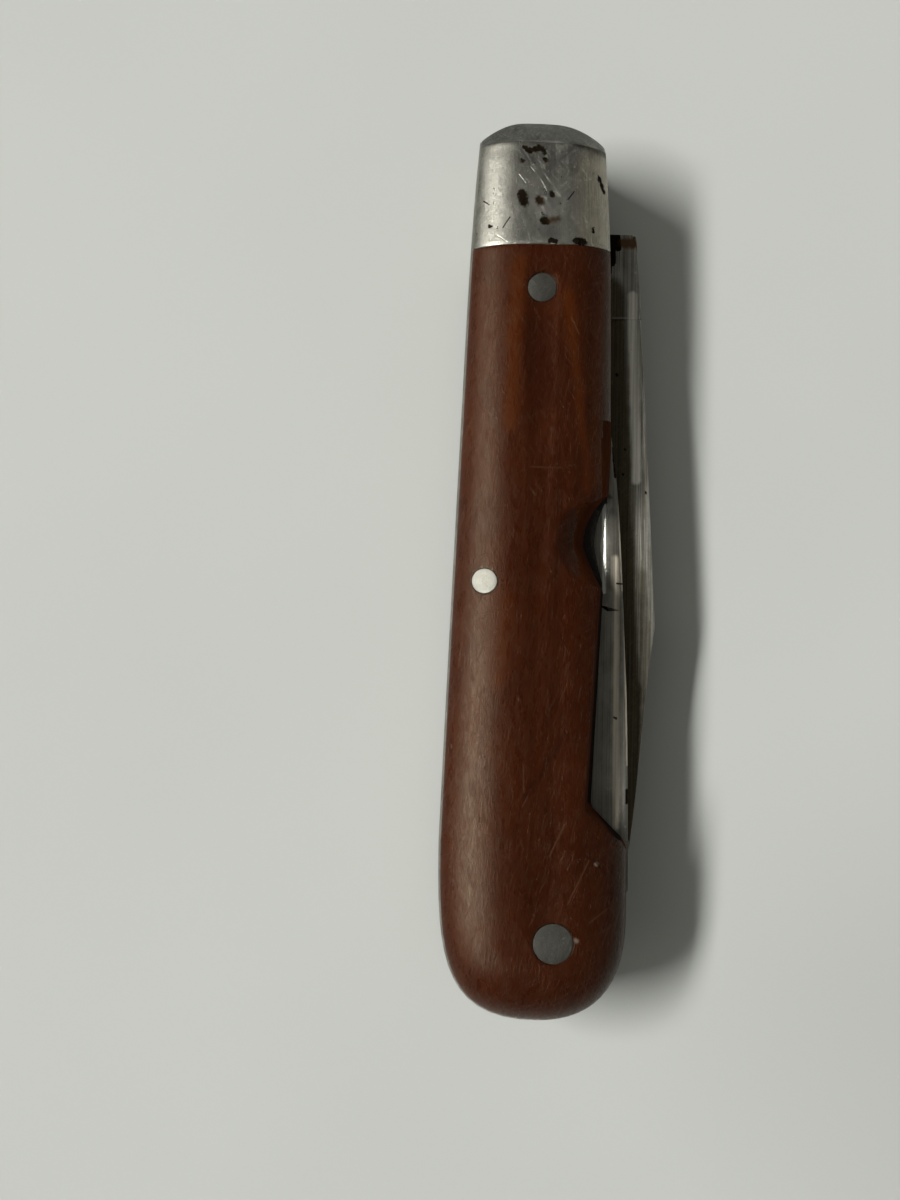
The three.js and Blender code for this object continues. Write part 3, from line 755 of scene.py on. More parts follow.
    def marked(self, colour: Socket, marks: Marks, shake: Place, tone: Colour, how: str = "MIX") -> Socket:
        """Blend a tone in where there are marks.

        Args:
            colour: The colour so far.
            marks: The marks, or none.
            shake: How far and how finely their edges wander, in millimetres.
            tone: The marks' tone.
            how: The kind of blend.

        Returns:
            The new colour.
        """
        return self.blend(self.marks(self.warped(*shake), marks), colour, tone, how) if marks else colour

    def bump(self, height: Socket, depth: float, strength: float, normal: Socket | None = None) -> Socket:
        """Add relief.

        Args:
            height: The relief, about 0 to 1.
            depth: How deep a step from 0 to 1 is, in millimetres.
            strength: How much of it shows.
            normal: Relief that lies under it.

        Returns:
            The surface's new normal.
        """
        made = self.node("Bump")
        self.feed(made.inputs["Height"], height)
        made.inputs["Distance"].default_value = depth * MM
        made.inputs["Strength"].default_value = strength
        if normal is not None:
            self.feed(made.inputs["Normal"], normal)
        return made.outputs[0]

    def dress(
        self, colour: object, rough: object, metal: object = 0.0, normal: object = None, **fixed: object
    ) -> Material:
        """Wire the shader up.

        Args:
            colour: The base colour.
            rough: The roughness.
            metal: How metallic it is.
            normal: The relief.
            **fixed: Constant sockets, named with underscores for spaces.

        Returns:
            The material.
        """
        self.feed(self.shader.inputs["Base Color"], colour)
        self.feed(self.shader.inputs["Roughness"], rough)
        self.feed(self.shader.inputs["Metallic"], metal)
        if normal is not None:
            self.feed(self.shader.inputs["Normal"], normal)
        for name, value in fixed.items():
            self.shader.inputs[name.replace("_", " ")].default_value = value
        return self.material


@dataclass(frozen=True)
class Fibre:
    """Red-brown pressed fibre, polished by handling."""

    name: str = "fibre_scale"
    body: Colour = (0.033, 0.0058, 0.0008)
    dark: Colour = (0.024, 0.0034, 0.0005)
    orange: Colour = (0.060, 0.0115, 0.0010)
    dust: Colour = (0.12, 0.065, 0.035)
    chipped: Colour = (0.20, 0.15, 0.12)
    # dirt is also the colour of the painted shade along the cut-out's edge
    dirt: Colour = (0.006, 0.002, 0.001)
    roughness: float = 0.29
    shine: float = 0.4
    shine_tint: tuple[float, ...] = (1.0, 0.86, 0.64, 1.0)
    fibre_grain: Triple = (0.18, 1.6, 0.4)
    cloud_grain: Triple = (3.2, 9.0, 3.0)
    fleck_grain: Triple = (0.35, 0.35, 0.35)
    pore_grain: Triple = (0.11, 0.5, 0.2)
    skin_grain: Triple = (0.13, 0.22, 0.2)
    wave_grain: Triple = (1.3, 3.0, 2.0)
    gloss_grain: Triple = (0.5, 2.2, 1.0)
    hair_grain: Triple = (0.06, 3.2, 3.0)
    hair_turns: tuple[float, ...] = (24.0, -35.0, 8.0, 62.0)
    band_shake: Place = (0.55, 3.5)
    pore_depth: float = 0.028
    skin_depth: float = 0.030
    wave_depth: float = 0.022
    wear_depth: float = 0.045
    bands: Marks = ()
    shade: Marks = ()
    scratches: Marks = ()
    chips: Marks = ()
    # cuts_and_shade: real cuts and dirt rings, and painted shade along the cut-out's edge
    cuts_and_shade: Marks = ()

    def pigment(self, r: Recipe) -> Socket:
        """Write the fibre's colour: clouds, grain, orange bands, darker shade and flecks.

        Args:
            r: The material's recipe.

        Returns:
            The colour.
        """
        grain = r.noise(r.stretch(self.fibre_grain), 4, 0.6)
        cloud = r.noise(r.stretch(self.cloud_grain), 4, 0.55, 0.6)
        fleck = r.noise(r.stretch(self.fleck_grain), 5, 0.65)
        colour = r.blend(r.span(cloud, 0.30, 0.66), self.dark, self.body)
        colour = r.blend(r.span(grain, 0.35, 0.75, 0.0, 0.3), colour, self.orange)
        colour = r.marked(colour, self.bands, self.band_shake, self.orange)
        colour = r.marked(colour, self.shade, self.band_shake, self.dark)
        return r.blend(r.span(fleck, 0.58, 0.78, 0.0, 0.35), colour, self.orange)

    def relief(self, r: Recipe, worn: Socket) -> Socket:
        """Write the pores, the fine and the wide waves of the polished skin, and the worn scratches.

        Args:
            r: The material's recipe.
            worn: 1 in a scratch and 0 beside it.

        Returns:
            The surface's normal.
        """
        relief = r.bump(r.noise(r.stretch(self.pore_grain), 4, 0.6), self.pore_depth, 0.8)
        skin = r.noise(r.stretch(self.skin_grain, 0, (2, 5, 1)), 4, 0.65)
        relief = r.bump(skin, self.skin_depth, 0.8, relief)
        relief = r.bump(r.noise(r.stretch(self.wave_grain)), self.wave_depth, 0.5, relief)
        return r.bump(r.number("SUBTRACT", 1.0, worn), self.wear_depth, 0.9, relief)

    def make(self) -> Material:
        """Write the material.

        Returns:
            The material.
        """
        r = Recipe(self.name)
        worn = r.hairs(self.hair_grain, self.hair_turns, 0.22)
        if self.scratches:
            worn = r.most(worn, r.marks(r.warped(0.05, 1.2), self.scratches))
        colour = r.blend(worn, self.pigment(r), self.dust)
        colour = r.marked(colour, self.chips, (0.12, 0.4), self.chipped)
        # dirt in cuts and round the pins, and painted shade along the cut-out's edge
        colour = r.marked(colour, self.cuts_and_shade, (0.05, 1.2), self.dirt)
        rough = r.roughness(self.gloss_grain, self.roughness, 0.07, 0.09)
        rough = r.number("ADD", rough, r.times(worn, 0.12))
        return r.dress(
            colour, rough, 0.0, self.relief(r, worn),
            Specular_IOR_Level=self.shine, Specular_Tint=self.shine_tint,
        )


@dataclass(frozen=True)
class Steel:
    """Worn steel, with its grinding lines along or across the piece, pits and stains, and patches of
    painted shade, shadow, light and highlight.
    """

    name: str
    tone: Colour = (0.52, 0.505, 0.455)
    dull: Colour = (0.30, 0.29, 0.25)
    streak_tone: Colour = (0.42, 0.40, 0.34)
    # painted_shade_tone darkens the steel where shade or a shadow is painted in
    painted_shade_tone: Colour = (0.30, 0.255, 0.15)
    # painted_light_tone is the colour of painted light: lit bands and the mirrored room
    painted_light_tone: Colour = (0.80, 0.78, 0.69)
    scratch_tone: Colour = (0.80, 0.79, 0.73)
    # painted_highlight_tone is the near-white of a painted highlight
    painted_highlight_tone: Colour = (0.92, 0.92, 0.86)
    stain_tone: Colour = (0.11, 0.055, 0.020)
    soot: Colour = (0.008, 0.007, 0.006)
    rust: Colour = (0.045, 0.030, 0.017)
    metal: float = 1.0
    # painted_light_metal: how metallic the painted light is
    painted_light_metal: float = 0.2
    roughness: float = 0.33
    grain: Triple = (0.05, 2.5, 0.5)
    cloud_grain: Triple = (2.4, 3.4, 2.0)
    streak_grain: Triple = (0.16, 26.0, 0.4)
    mottle_grain: Triple = (0.22, 0.34, 0.3)
    patch_grain: Triple = (3.0, 3.0, 3.0)
    dirt_grain: Triple = (0.3, 0.3, 0.3)
    gloss_grain: Triple = (0.7, 1.4, 1.0)
    hair_grain: Triple = (0.045, 1.8, 2.0)
    hair_turns: tuple[float, ...] = (31.0, -42.0, 38.0, 68.0)
    lines: float = 0.5
    speckle: float = 0.35
    speck_spacing: float = 0.9
    hair: float = 0.5
    streaks: float = 0.0
    ragged: float = 0.12
    mottle: float = 0.035
    line_depth: float = 0.004
    hair_depth: float = 0.030
    pit_depth: float = 0.015
    # pits_and_shadow: real pits, and on the long blade a painted shadow as well
    pits_and_shadow: Marks = ()
    stains: Marks = ()
    scratches: Marks = ()
    cuts_and_shade: Marks = ()
    # painted_highlight: where a highlight is painted in as near-white, fully metallic steel
    painted_highlight: Marks = ()
    # painted_shade: where shade or a cast shadow is painted in, multiplied by painted_shade_tone
    painted_shade: Marks = ()
    # painted_light: where light or a reflection is painted in as a paler colour
    painted_light: Marks = ()

    def ground(self, r: Recipe, line: Socket, mottle: Socket) -> Socket:
        """Write the ground steel's colour: clouds, lines, dark streaks, dull patches and painted shade.

        Args:
            r: The material's recipe.
            line: The grinding lines.
            mottle: The fine mottling.

        Returns:
            The colour.
        """
        cloud = r.noise(r.stretch(self.cloud_grain), 5, 0.6, 0.4)
        colour = r.blend(r.span(cloud, 0.30, 0.70), self.dull, self.tone)
        colour = r.blend(r.span(line, 0.3, 0.7, 0.0, self.lines), colour, self.tone)
        if self.streaks:
            streak = r.noise(r.stretch(self.streak_grain, 0, (3, 1, 0)), 2, 0.6)
            streak = r.span(streak, 0.40, 0.56, self.streaks, 0.0)
            colour = r.blend(streak, colour, self.streak_tone, "MULTIPLY")
        colour = r.blend(r.span(mottle, 0.5, 0.75, 0.0, 0.45), colour, self.dull)
        # painted shade: these marks darken the colour where shade or a shadow falls
        return r.marked(colour, self.painted_shade, (0.12, 1.5), self.painted_shade_tone, "MULTIPLY")

    def specks_pits_and_shadow(self, r: Recipe) -> Socket:
        """Write the pits, cuts, painted shadow and patches of dark specks.

        Args:
            r: The material's recipe.

        Returns:
            1 in the dirt, the pits and the painted shadow and 0 on clean steel.
        """
        patchy = r.span(r.noise(r.stretch(self.patch_grain, 0, (7, 3, 1)), 2), 0.5, 0.62)
        foul_and_shadow = r.times(r.times(r.dots(self.speck_spacing, 0.04, 0.09), patchy), self.speckle)
        if self.pits_and_shadow:
            foul_and_shadow = r.most(foul_and_shadow, r.marks(r.warped(self.ragged, 0.32), self.pits_and_shadow))
        if self.cuts_and_shade:
            foul_and_shadow = r.most(foul_and_shadow, r.marks(r.warped(0.05, 1.0), self.cuts_and_shade))
        return foul_and_shadow

    def make(self) -> Material:
        """Write the material.

        Returns:
            The material.
        """
        r = Recipe(self.name)
        line = r.noise(r.stretch(self.grain), 3, 0.6)
        mottle = r.noise(r.stretch(self.mottle_grain), 4, 0.65)
        foul_and_shadow = self.specks_pits_and_shadow(r)
        hair = r.hairs(self.hair_grain, self.hair_turns, 0.6)
        if self.scratches:
            hair = r.most(hair, r.marks(r.warped(0.04, 1.0), self.scratches))
        colour, metal = self.ground(r, line, mottle), r.span(foul_and_shadow, 0.0, 0.55, self.metal, 1.0)
        # painted light: a paler colour where the steel would be lit or would mirror the room
        if self.painted_light:
            painted_light = r.marks(r.warped(0.12, 1.5), self.painted_light)
            share = r.times(painted_light, r.span(line, 0.35, 0.6, 0.4, 1.0))
            colour = r.blend(share, colour, self.painted_light_tone)
            metal = r.times(metal, r.span(painted_light, 0.0, 1.0, 1.0, self.painted_light_metal))
        colour = r.blend(r.times(hair, self.hair), colour, self.scratch_tone)
        dirt = r.blend(r.noise(r.stretch(self.dirt_grain)), self.soot, self.rust)
        colour = r.blend(r.span(foul_and_shadow, 0.0, 0.55), colour, dirt)
        if self.stains:
            stain = r.marks(r.warped(0.30, 0.5), self.stains)
            colour = r.blend(r.span(stain, 0.0, 0.6), colour, self.stain_tone)
        # painted highlight: polished is the painted highlight's mask
        if self.painted_highlight:
            polished = r.marks(r.warped(0.03, 1.0), self.painted_highlight)
            colour = r.blend(polished, colour, self.painted_highlight_tone)
            metal = r.most(metal, polished)
        rough = r.roughness(self.gloss_grain, self.roughness, 0.06, 0.10)
        rough = r.number("ADD", rough, r.times(foul_and_shadow, 0.4))
        relief = r.bump(line, self.line_depth, self.lines)
        relief = r.bump(r.number("SUBTRACT", 1.0, hair), self.hair_depth, 0.8, relief)
        relief = r.bump(mottle, self.mottle, 0.8, relief)
        relief = r.bump(r.number("SUBTRACT", 1.0, foul_and_shadow), self.pit_depth, 0.5, relief)
        return r.dress(colour, rough, metal, relief)


NEAR_FIBRE = Fibre(
    bands=(
        Mark(-2.87, 29.42, 1.42, 8.54, 85, 0.76, 0.85),
        Mark(-3.29, 20.54, 1.31, 9.26, 89, 0.76, 0.8),
        Mark(2.98, 27.92, 1.31, 4.28, -82, 0.65, 0.9),
        Mark(4.33, 17.38, 0.98, 16.98, -83, 0.54, 0.9),
        Mark(-3.91, -7.51, 1.09, 8.73, 87, 0.76, 0.4),
        Mark(6.6, 22.0, 1.2, 24.0, 88, 1.0, 0.8),
    ),
    shade=(
        Mark(0.17, 22.49, 2.61, 7.67, -83, 1.31, 0.8),
        Mark(1.87, 6.73, 2.83, 10.90, -86, 1.52, 0.45),
        Mark(0.97, -21.11, 0.45, 8.2, 58, 0.42, 0.9),
    ),
    scratches=(
        Mark(0.44, 11.34, 0.12, 3.27, -1, 0.09, 0.25),
        Mark(3.48, 26.79, 0.13, 1.95, -63, 0.09, 0.35),
        Mark(-1.43, -22.50, 0.12, 3.05, -88, 0.09, 0.3),
        Mark(2.29, -29.20, 0.13, 3.85, 66, 0.10, 0.35),
        Mark(4.69, -33.79, 0.12, 5.26, 64, 0.10, 0.35),
        Mark(7.05, -37.56, 0.12, 2.46, 33, 0.10, 0.3),
    ),
    chips=(Mark(6.73, -31.86, 0.34, 0.15, -44, 0.15), Mark(4.57, -40.11, 0.40, 0.15, -44, 0.2, 0.8)),
    # the two long marks along the cut-out's edge are dirt with painted shade where the wall falls into
    # shade; the rings round the pins are dirt
    cuts_and_shade=(
        Mark(6.85, -31.9, 0.16, 1.09, -52, 0.11, 0.8),
        Mark(6.80, -13.51, 0.77, 23.27, 87, 0.17),
        Mark(7.86, -27.21, 0.66, 5.29, -52, 0.17),
        *(Mark(pin.x, pin.y, pin.diameter + RING_DIRT, 0, 0, 0.2, 0.75) for pin in SCALE_PINS),
    ),
)
# paler fibre for the scoop's and the cut-out's walls: painted light, so that walls turned from the lamp
# look lit; its dark marks are painted shade along the cut-out's wall
LIT_WALL_FIBRE = Fibre(
    name="fibre_wall_painted_light",
    body=(0.070, 0.017, 0.0035),
    dark=(0.045, 0.010, 0.002),
    orange=(0.095, 0.024, 0.004),
    dust=(0.08, 0.04, 0.02),
    roughness=0.7,
    shine=0.04,
    cuts_and_shade=(Mark(6.80, -13.51, 0.9, 23.27, 87, 0.1), Mark(7.86, -27.21, 0.8, 5.29, -52, 0.1)),
)
NEAR_BOLSTER_STEEL = Steel(
    name="bolster_steel",
    pits_and_shadow=(
        Mark(-1.15, 45.88, 0.55, 1.25, 10, 0.25),
        Mark(-2.02, 45.82, 0.42, 0.8, -39, 0.2),
        Mark(-0.28, 45.75, 0.36, 0.70, -51, 0.2),
        Mark(-2.49, 44.64, 0.38, 0.12, -26, 0.16, 0.9),
        Mark(-0.01, 44.73, 0.44, 0.09, -39, 0.16, 0.9),
        Mark(-2.38, 40.53, 0.85, 0.85, -75, 0.35),
        Mark(-0.58, 40.34, 0.65, 0.24, -63, 0.44, 0.7),
        Mark(0.77, 41.01, 0.44, 0.24, -63, 0.20, 0.9),
        Mark(0.0, 38.11, 0.65, 0.34, -18, 0.27),
        Mark(-5.88, 37.73, 0.35, 0.12, -26, 0.16, 0.9),
        Mark(5.42, 37.38, 0.26, 0.44, -82, 0.13, 0.9),
        Mark(0.95, 35.98, 0.54, 0.44, -6, 0.16),
        Mark(3.89, 36.02, 0.70, 0.80, -3, 0.2),
        Mark(6.30, 42.62, 0.33, 1.66, -66, 0.17, 0.9),
    ),
    stains=(Mark(1.0, 38.25, 0.50, 0.9, 12, 0.4, 0.45), Mark(-0.4, 40.2, 0.6, 0.5, -70, 0.4, 0.25)),
    scratches=(
        Mark(-2.52, 42.65, 0.10, 1.18, -55, 0.05),
        Mark(-1.45, 43.76, 0.09, 0.70, -51, 0.04),
        Mark(-0.22, 42.06, 0.10, 1.17, -61, 0.05),
        Mark(-4.60, 36.25, 0.11, 1.39, -38, 0.05),
    ),
    cuts_and_shade=(
        Mark(-4.14, 38.0, 0.11, 1.33, 56, 0.07, 0.6),
        Mark(2.84, 40.93, 0.11, 1.09, 54, 0.07, 0.6),
        Mark(-6.33, 40.42, 0.11, 0.81, -41, 0.05, 0.6),
    ),
    ragged=0.3,
    mottle=0.055,
    # painted shade: the facet, the middle of the top and both long edges are darkened where they mirror
    # the dark room
    painted_shade_tone=(0.20, 0.195, 0.185),
    painted_shade=(
        Mark(-2.88, 48.72, 3.9, 9.01, 1, 0.35),
        Mark(4.49, 48.1, 3.9, 5.86, -12, 0.35),
        Mark(0.2, 45.2, 3.4, 4.4, -4, 1.5, 0.38),
        Mark(-7.45, 42.0, 1.5, 14.0, 86, 0.6, 0.6),
        Mark(7.25, 42.0, 1.3, 14.0, -86, 0.5, 0.6),
    ),
    # painted reflection: a warm pale band on the right, where the crown mirrors the room
    painted_light_tone=(0.95, 0.87, 0.69),
    painted_light_metal=1.0,
    painted_light=(Mark(5.3, 39.6, 3.0, 9.5, -88, 1.2),),
)
MAIN_BLADE_STEEL = Steel(
    name="blade_steel",
    tone=(0.40, 0.39, 0.34),
    dull=(0.19, 0.18, 0.145),
    metal=0.4,
    roughness=0.36,
    grain=(0.24, 34.0, 0.5),
    lines=1.0,
    speckle=0.6,
    hair=0.2,
    streaks=0.8,
    pits_and_shadow=(
        # the first three marks are painted shadow: the black wedge at the shoulder, beside the bolster
        Mark(8.13, 37.15, 1.03, 2.97, -89, 0.14),
        Mark(8.86, 37.96, 0.69, 1.38, -84, 0.11),
        Mark(8.01, 35.09, 0.46, 1.14, 88, 0.17, 0.9),
        Mark(9.06, 22.84, 0.23, 0.10, -44, 0.11),
        Mark(10.10, 14.28, 0.17, 0.10, -44, 0.09, 0.8),
        Mark(12.56, 9.38, 0.18, 0.13, -63, 0.09, 0.9),
        Mark(9.91, 11.42, 0.18, 0.10, -44, 0.09, 0.9),
    ),
    stains=(Mark(10.1, 37.81, 1.0, 1.26, -4, 0.46, 0.7), Mark(10.98, 37.76, 0.34, 1.45, -71, 0.17, 0.6)),
    scratches=(
        Mark(9.79, 29.29, 0.14, 2.63, 1, 0.09, 0.9),
        Mark(12.06, 18.23, 0.16, 19.45, -87, 0.08, 0.7),
        Mark(11.49, 10.79, 0.14, 18.31, -86, 0.07, 0.8),
        Mark(12.78, 0.52, 0.16, 11.45, -86, 0.08, 0.7),
        Mark(10.56, 23.35, 0.12, 11.44, -87, 0.07, 0.7),
    ),
    # painted shadow: the handle's cast shadow on the blade, darkened by multiplying
    painted_shade_tone=(0.27, 0.22, 0.13),
    painted_shade=(
        Mark(8.79, 7.55, 4.57, 48.51, -87, 0.46),
        Mark(11.1, -22.9, 2.5, 19.5, 89, 0.34),
        Mark(12.6, -7.2, 1.37, 14.3, -87, 0.46, 0.6),
    ),
    # painted light: the lit band along the spine, beyond the handle's shadow
    painted_light=(Mark(11.07, 21.30, 1.03, 21.04, -88, 0.23),),
)
SMALL_BLADE_STEEL = Steel(
    name="small_blade_steel",
    tone=(0.30, 0.29, 0.25),
    dull=(0.17, 0.162, 0.128),
    metal=0.4,
    roughness=0.36,
    grain=(0.3, 34.0, 0.5),
    lines=1.0,
    speckle=0.0,
    hair=0.15,
    streaks=0.45,
    pits_and_shadow=(
        Mark(8.49, 13.41, 0.18, 1.69, -88, 0.08),
        Mark(8.66, 11.61, 0.20, 1.47, -84, 0.08),
        Mark(10.56, -25.07, 0.26, 1.4, -89, 0.14),
        Mark(9.11, -16.25, 0.23, 0.20, -33, 0.11, 0.8),
        Mark(9.36, -1.13, 0.18, 0.57, -5, 0.09, 0.7),
    ),
    # painted highlight: the lamp's glint on the nail nick's floor
    painted_highlight=(Mark(7.58, 3.09, 0.42, 10.36, -89, 0.06),),
    # painted shade: a darker band beside the nail nick
    painted_shade_tone=(0.34, 0.33, 0.31),
    painted_shade=(Mark(8.62, 2.66, 1.46, 7.88, -88, 0.4, 0.75),),
    # painted reflection: pale bands along the hollow grind and a painted highlight on the spine's edge
    painted_light_tone=(0.74, 0.66, 0.52),
    painted_light=(
        Mark(9.12, -13.40, 0.66, 30.2, -89, 0.28, 0.8),
        Mark(10.24, -12.24, 0.23, 18.58, -88, 0.09),
        Mark(9.41, 3.23, 0.18, 10.14, -87, 0.09, 0.8),
    ),
)
RIVET_STEEL = Steel(
    name="rivet_steel", tone=(0.082, 0.080, 0.067), dull=(0.05, 0.048, 0.04), metal=0.5, roughness=0.42,
    speckle=0.3, hair=0.2,
)
WORN_RIVET_STEEL = Steel(
    name="worn_rivet_steel", tone=(0.52, 0.51, 0.44), dull=(0.38, 0.37, 0.31), metal=0.15, roughness=0.42,
    hair=0.3,
)
# painted shadow: the liners' front half is darkened nearly black where the scale's wall shades them
LINER_STEEL = Steel(
    name="liner_steel", tone=(0.34, 0.33, 0.29), dull=(0.20, 0.19, 0.16), metal=0.4, roughness=0.4,
    hair=0.1, painted_shade_tone=(0.05, 0.045, 0.035), painted_shade=(Mark(6.0, -7.0, 8.0, 52.0, 90, 1.5),),
)
SPRING_STEEL = Steel(
    name="spring_steel", tone=(0.30, 0.29, 0.25), dull=(0.15, 0.143, 0.118), metal=0.6, roughness=0.4
)


@dataclass(frozen=True)
class TableTop:
    """The pale, slightly cool painted top that the knife lies on, with painted shadow inside the knife's
    shadow and painted shade towards the lower right corner.
    """

    name: str = "table_top"
    tone: Colour = (0.590, 0.608, 0.572)
    cloud_share: float = 0.97
    painted_shadow_share: float = 0.8
    # worn: painted shadow inside the knife's shadow on the right, and painted shade towards the lower
    # right corner
    worn: Marks = (
        Mark(14.5, -25.0, 8.0, 30.0, 90, 4.0, 0.7),
        Mark(56.0, -66.0, 44.0, 30.0, -60, 22.0, 0.5),
    )

    def darker(self, share: float) -> Colour:
        """Give a share of the tone."""
        return tuple(c * share for c in self.tone)

    def make(self) -> Material:
        """Write the material.

        Returns:
            The material.
        """
        r = Recipe(self.name)
        cloud = r.noise(r.stretch((60, 60, 60)), 3, 0.5)
        colour = r.blend(r.span(cloud, 0.3, 0.7), self.darker(self.cloud_share), self.tone)
        # painted shadow and shade: the worn marks darken the top
        colour = r.blend(r.marks(r.place, self.worn), colour, self.darker(self.painted_shadow_share))
        relief = r.bump(r.noise(r.stretch((0.6, 0.6, 0.6)), 3, 0.5), 0.004, 0.3)
        return r.dress(colour, 0.6, 0.0, relief, Specular_IOR_Level=0.1)


# Handle


@dataclass
class Handle:
    """The scales and bolsters, domed over the liners.

    Attributes:
        side_steps: Steps down each side.
        butt_steps: Steps round each half of the butt.
        crown_steps: Rings up the crown.
        seam_gap: The gap between scale and bolster.
        seam_overrun: How far past the seam a body is made before it is sawn off.
        facet_length: How far from the end the bolster's facet starts on the centreline.
        facet_slant: How the facet's upper edge slants across the handle.
        facet_slope: How steeply the facet falls.
        overrun: How far cutters and bodies run on past the handle.
        cutout_top: Where the near scale's cut-out starts, along the handle.
        cutout_shoulder: Where its straight edge ends.
        cutout_depth: How deep it is at the shoulder.
        cutout_run_out: How far below the shoulder it has run out.
        cutout_corner: How much of the depth the shoulder's corner takes.
        cutout_step: How far the corner starts below the shoulder.
        cutout_nose: The shoulder's broken point, across and down.
        cutout_margin: How far outside the scale it runs out.
        cutout_lean: How much its wall leans for each millimetre up.
        cutout_foot: How far out the wall's foot is.
        scoop_y: The middle of the thumb scoop, along the handle.
        scoop_lengths: Its length at the liner and at the crown.
        scoop_depths: Its depth at the liner and at the crown.
        scoop_top_eases: How full its upper end is drawn, at the liner and at the crown.
        scoop_foot_eases: How full its lower end is drawn, at the liner and at the crown.
        scoop_wall_ease: How late its wall rolls over.
        scoop_steps: Steps along its edge.
        wall_steps: Steps up its wall.
        wall_slope: Faces that point up less than this get the paler wall fibre, with its painted light and
            shade, inside the cut-out.
        rim_slope: The same beside the cut-out.
        scale_edge: How far a scale's edges are broken.
        bolster_edge: How far a bolster's edges are broken.
        bolster_edge_angle: The least turn, in degrees, of a bolster's edge that is broken.
        rivet_edge: How far a rivet's rim is broken.
    """

    side_steps: int = 110
    butt_steps: int = 34
    crown_steps: int = 22
    seam_gap: float = 0.03
    seam_overrun: float = 6.0
    facet_length: float = 3.45
    facet_slant: float = -0.035
    facet_slope: float = 0.91
    overrun: float = 12.0
    cutout_top: float = 16.9
    cutout_shoulder: float = -25.6
    cutout_depth: float = 4.0
    cutout_run_out: float = 7.2
    cutout_corner: float = 0.75
    cutout_step: float = 0.4
    cutout_nose: Place = (0.2, 0.6)
    cutout_margin: float = 0.1
    cutout_lean: float = 0.36
    cutout_foot: float = 0.15
    scoop_y: float = 3.0
    scoop_lengths: Place = (10.8, 11.8)
    scoop_depths: Place = (2.4, 5.8)
    scoop_top_eases: Place = (2.1, 3.4)
    scoop_foot_eases: Place = (1.2, 2.1)
    scoop_wall_ease: float = 2.2
    scoop_steps: int = 48
    wall_steps: int = 18
    wall_slope: float = 0.8
    rim_slope: float = 0.5
    scale_edge: float = 0.09
    bolster_edge: float = 0.08
    bolster_edge_angle: float = 26.0
    rivet_edge: float = 0.07

    def crowned(self, top: float) -> Body:
        """Make the near crowned body, with a flat foot on the liner.

        Args:
            top: The height along the handle at which it ends.

        Returns:
            The closed body.
        """
        sides = OUTLINE.sides((top, top), self.side_steps, self.butt_steps)
        shares = [math.sin(math.pi / 2 * i / self.crown_steps) for i in range(self.crown_steps, -1, -1)]
        rings = [OUTLINE.crown_ring(sides, share) for share in shares]
        foot = [Vector((point.x, point.y, LAYERS.near_scale_z)) for point in rings[0]]
        return Bench.skin([foot, *rings])

    def trimmed(self, body: Body, y: float, keep_above: bool) -> None:
        """Saw a body across and close the cut.

        Args:
            body: The body that is worked on.
            y: Where the saw goes, along the handle.
            keep_above: Whether the part towards the bolster's end is kept.
        """
        cut = bmesh.ops.bisect_plane(
            body, geom=[*body.verts, *body.edges, *body.faces], dist=1e-5, plane_co=(0, y, 0),
            plane_no=(0, 1, 0), clear_inner=keep_above, clear_outer=not keep_above,
        )["geom_cut"]
        bmesh.ops.holes_fill(body, edges=[e for e in cut if isinstance(e, bmesh.types.BMEdge)], sides=0)
        bmesh.ops.recalc_face_normals(body, faces=body.faces)

    def cutout_x(self, y: float) -> float:
        """Read the cut-out's straight edge.

        Args:
            y: The height along the handle.

        Returns:
            The edge's x.
        """
        inner = OUTLINE.front(self.cutout_shoulder) - self.cutout_depth
        share = (y - self.cutout_shoulder) / (self.cutout_top - self.cutout_shoulder)
        return inner + (OUTLINE.front(self.cutout_top) - inner) * share

    def cutout(self) -> Body:
        """Make the cutter for the near scale's open front edge.

        Returns:
            The closed body.
        """
        shoulder, side = self.cutout_shoulder, OUTLINE.front_widths[0]
        inner = self.cutout_x(shoulder)
        corner, step = self.cutout_depth * self.cutout_corner, self.cutout_step
        across, down = self.cutout_nose
        bend = [
            (inner + corner, shoulder - step - corner),
            (side, shoulder - step - self.cutout_depth),
            (side + self.cutout_margin, shoulder - self.cutout_run_out),
        ]
        points = [(OUTLINE.front(self.cutout_top), self.cutout_top), (inner, shoulder)]
        points += [(inner + across, shoulder - down), *curve(bend, 16)]
        outside = side + self.overrun
        points += [(outside, shoulder - self.cutout_run_out), (outside, self.cutout_top)]
        body = Bench.plate(points, *LAYERS.near_cut)
        lean = Matrix.Identity(4)
        lean[0][2] = -self.cutout_lean
        lean[0][3] = self.cutout_foot + self.cutout_lean * LAYERS.near_scale_z
        bmesh.ops.transform(body, verts=body.verts, matrix=lean)
        return body

    def bite(self, share: float) -> list[Place]:
        """Draw the scoop's edge, rounder towards the end than towards the butt.

        Args:
            share: From 0 at the liner to 1 at the crown.

        Returns:
            The edge's points, from its upper end to its lower one.
        """
        pairs = (self.scoop_lengths, self.scoop_depths, self.scoop_top_eases, self.scoop_foot_eases)
        length, depth, top_ease, foot_ease = (low + (high - low) * share for low, high in pairs)
        edge, points = self.cutout_x(self.scoop_y), []
        for i in range(self.scoop_steps + 1):
            along = math.cos(math.pi * i / self.scoop_steps)
            across = 1 - abs(along) ** (top_ease if along > 0 else foot_ease)
            points.append((edge - depth * across, self.scoop_y + length / 2 * along))
        return points

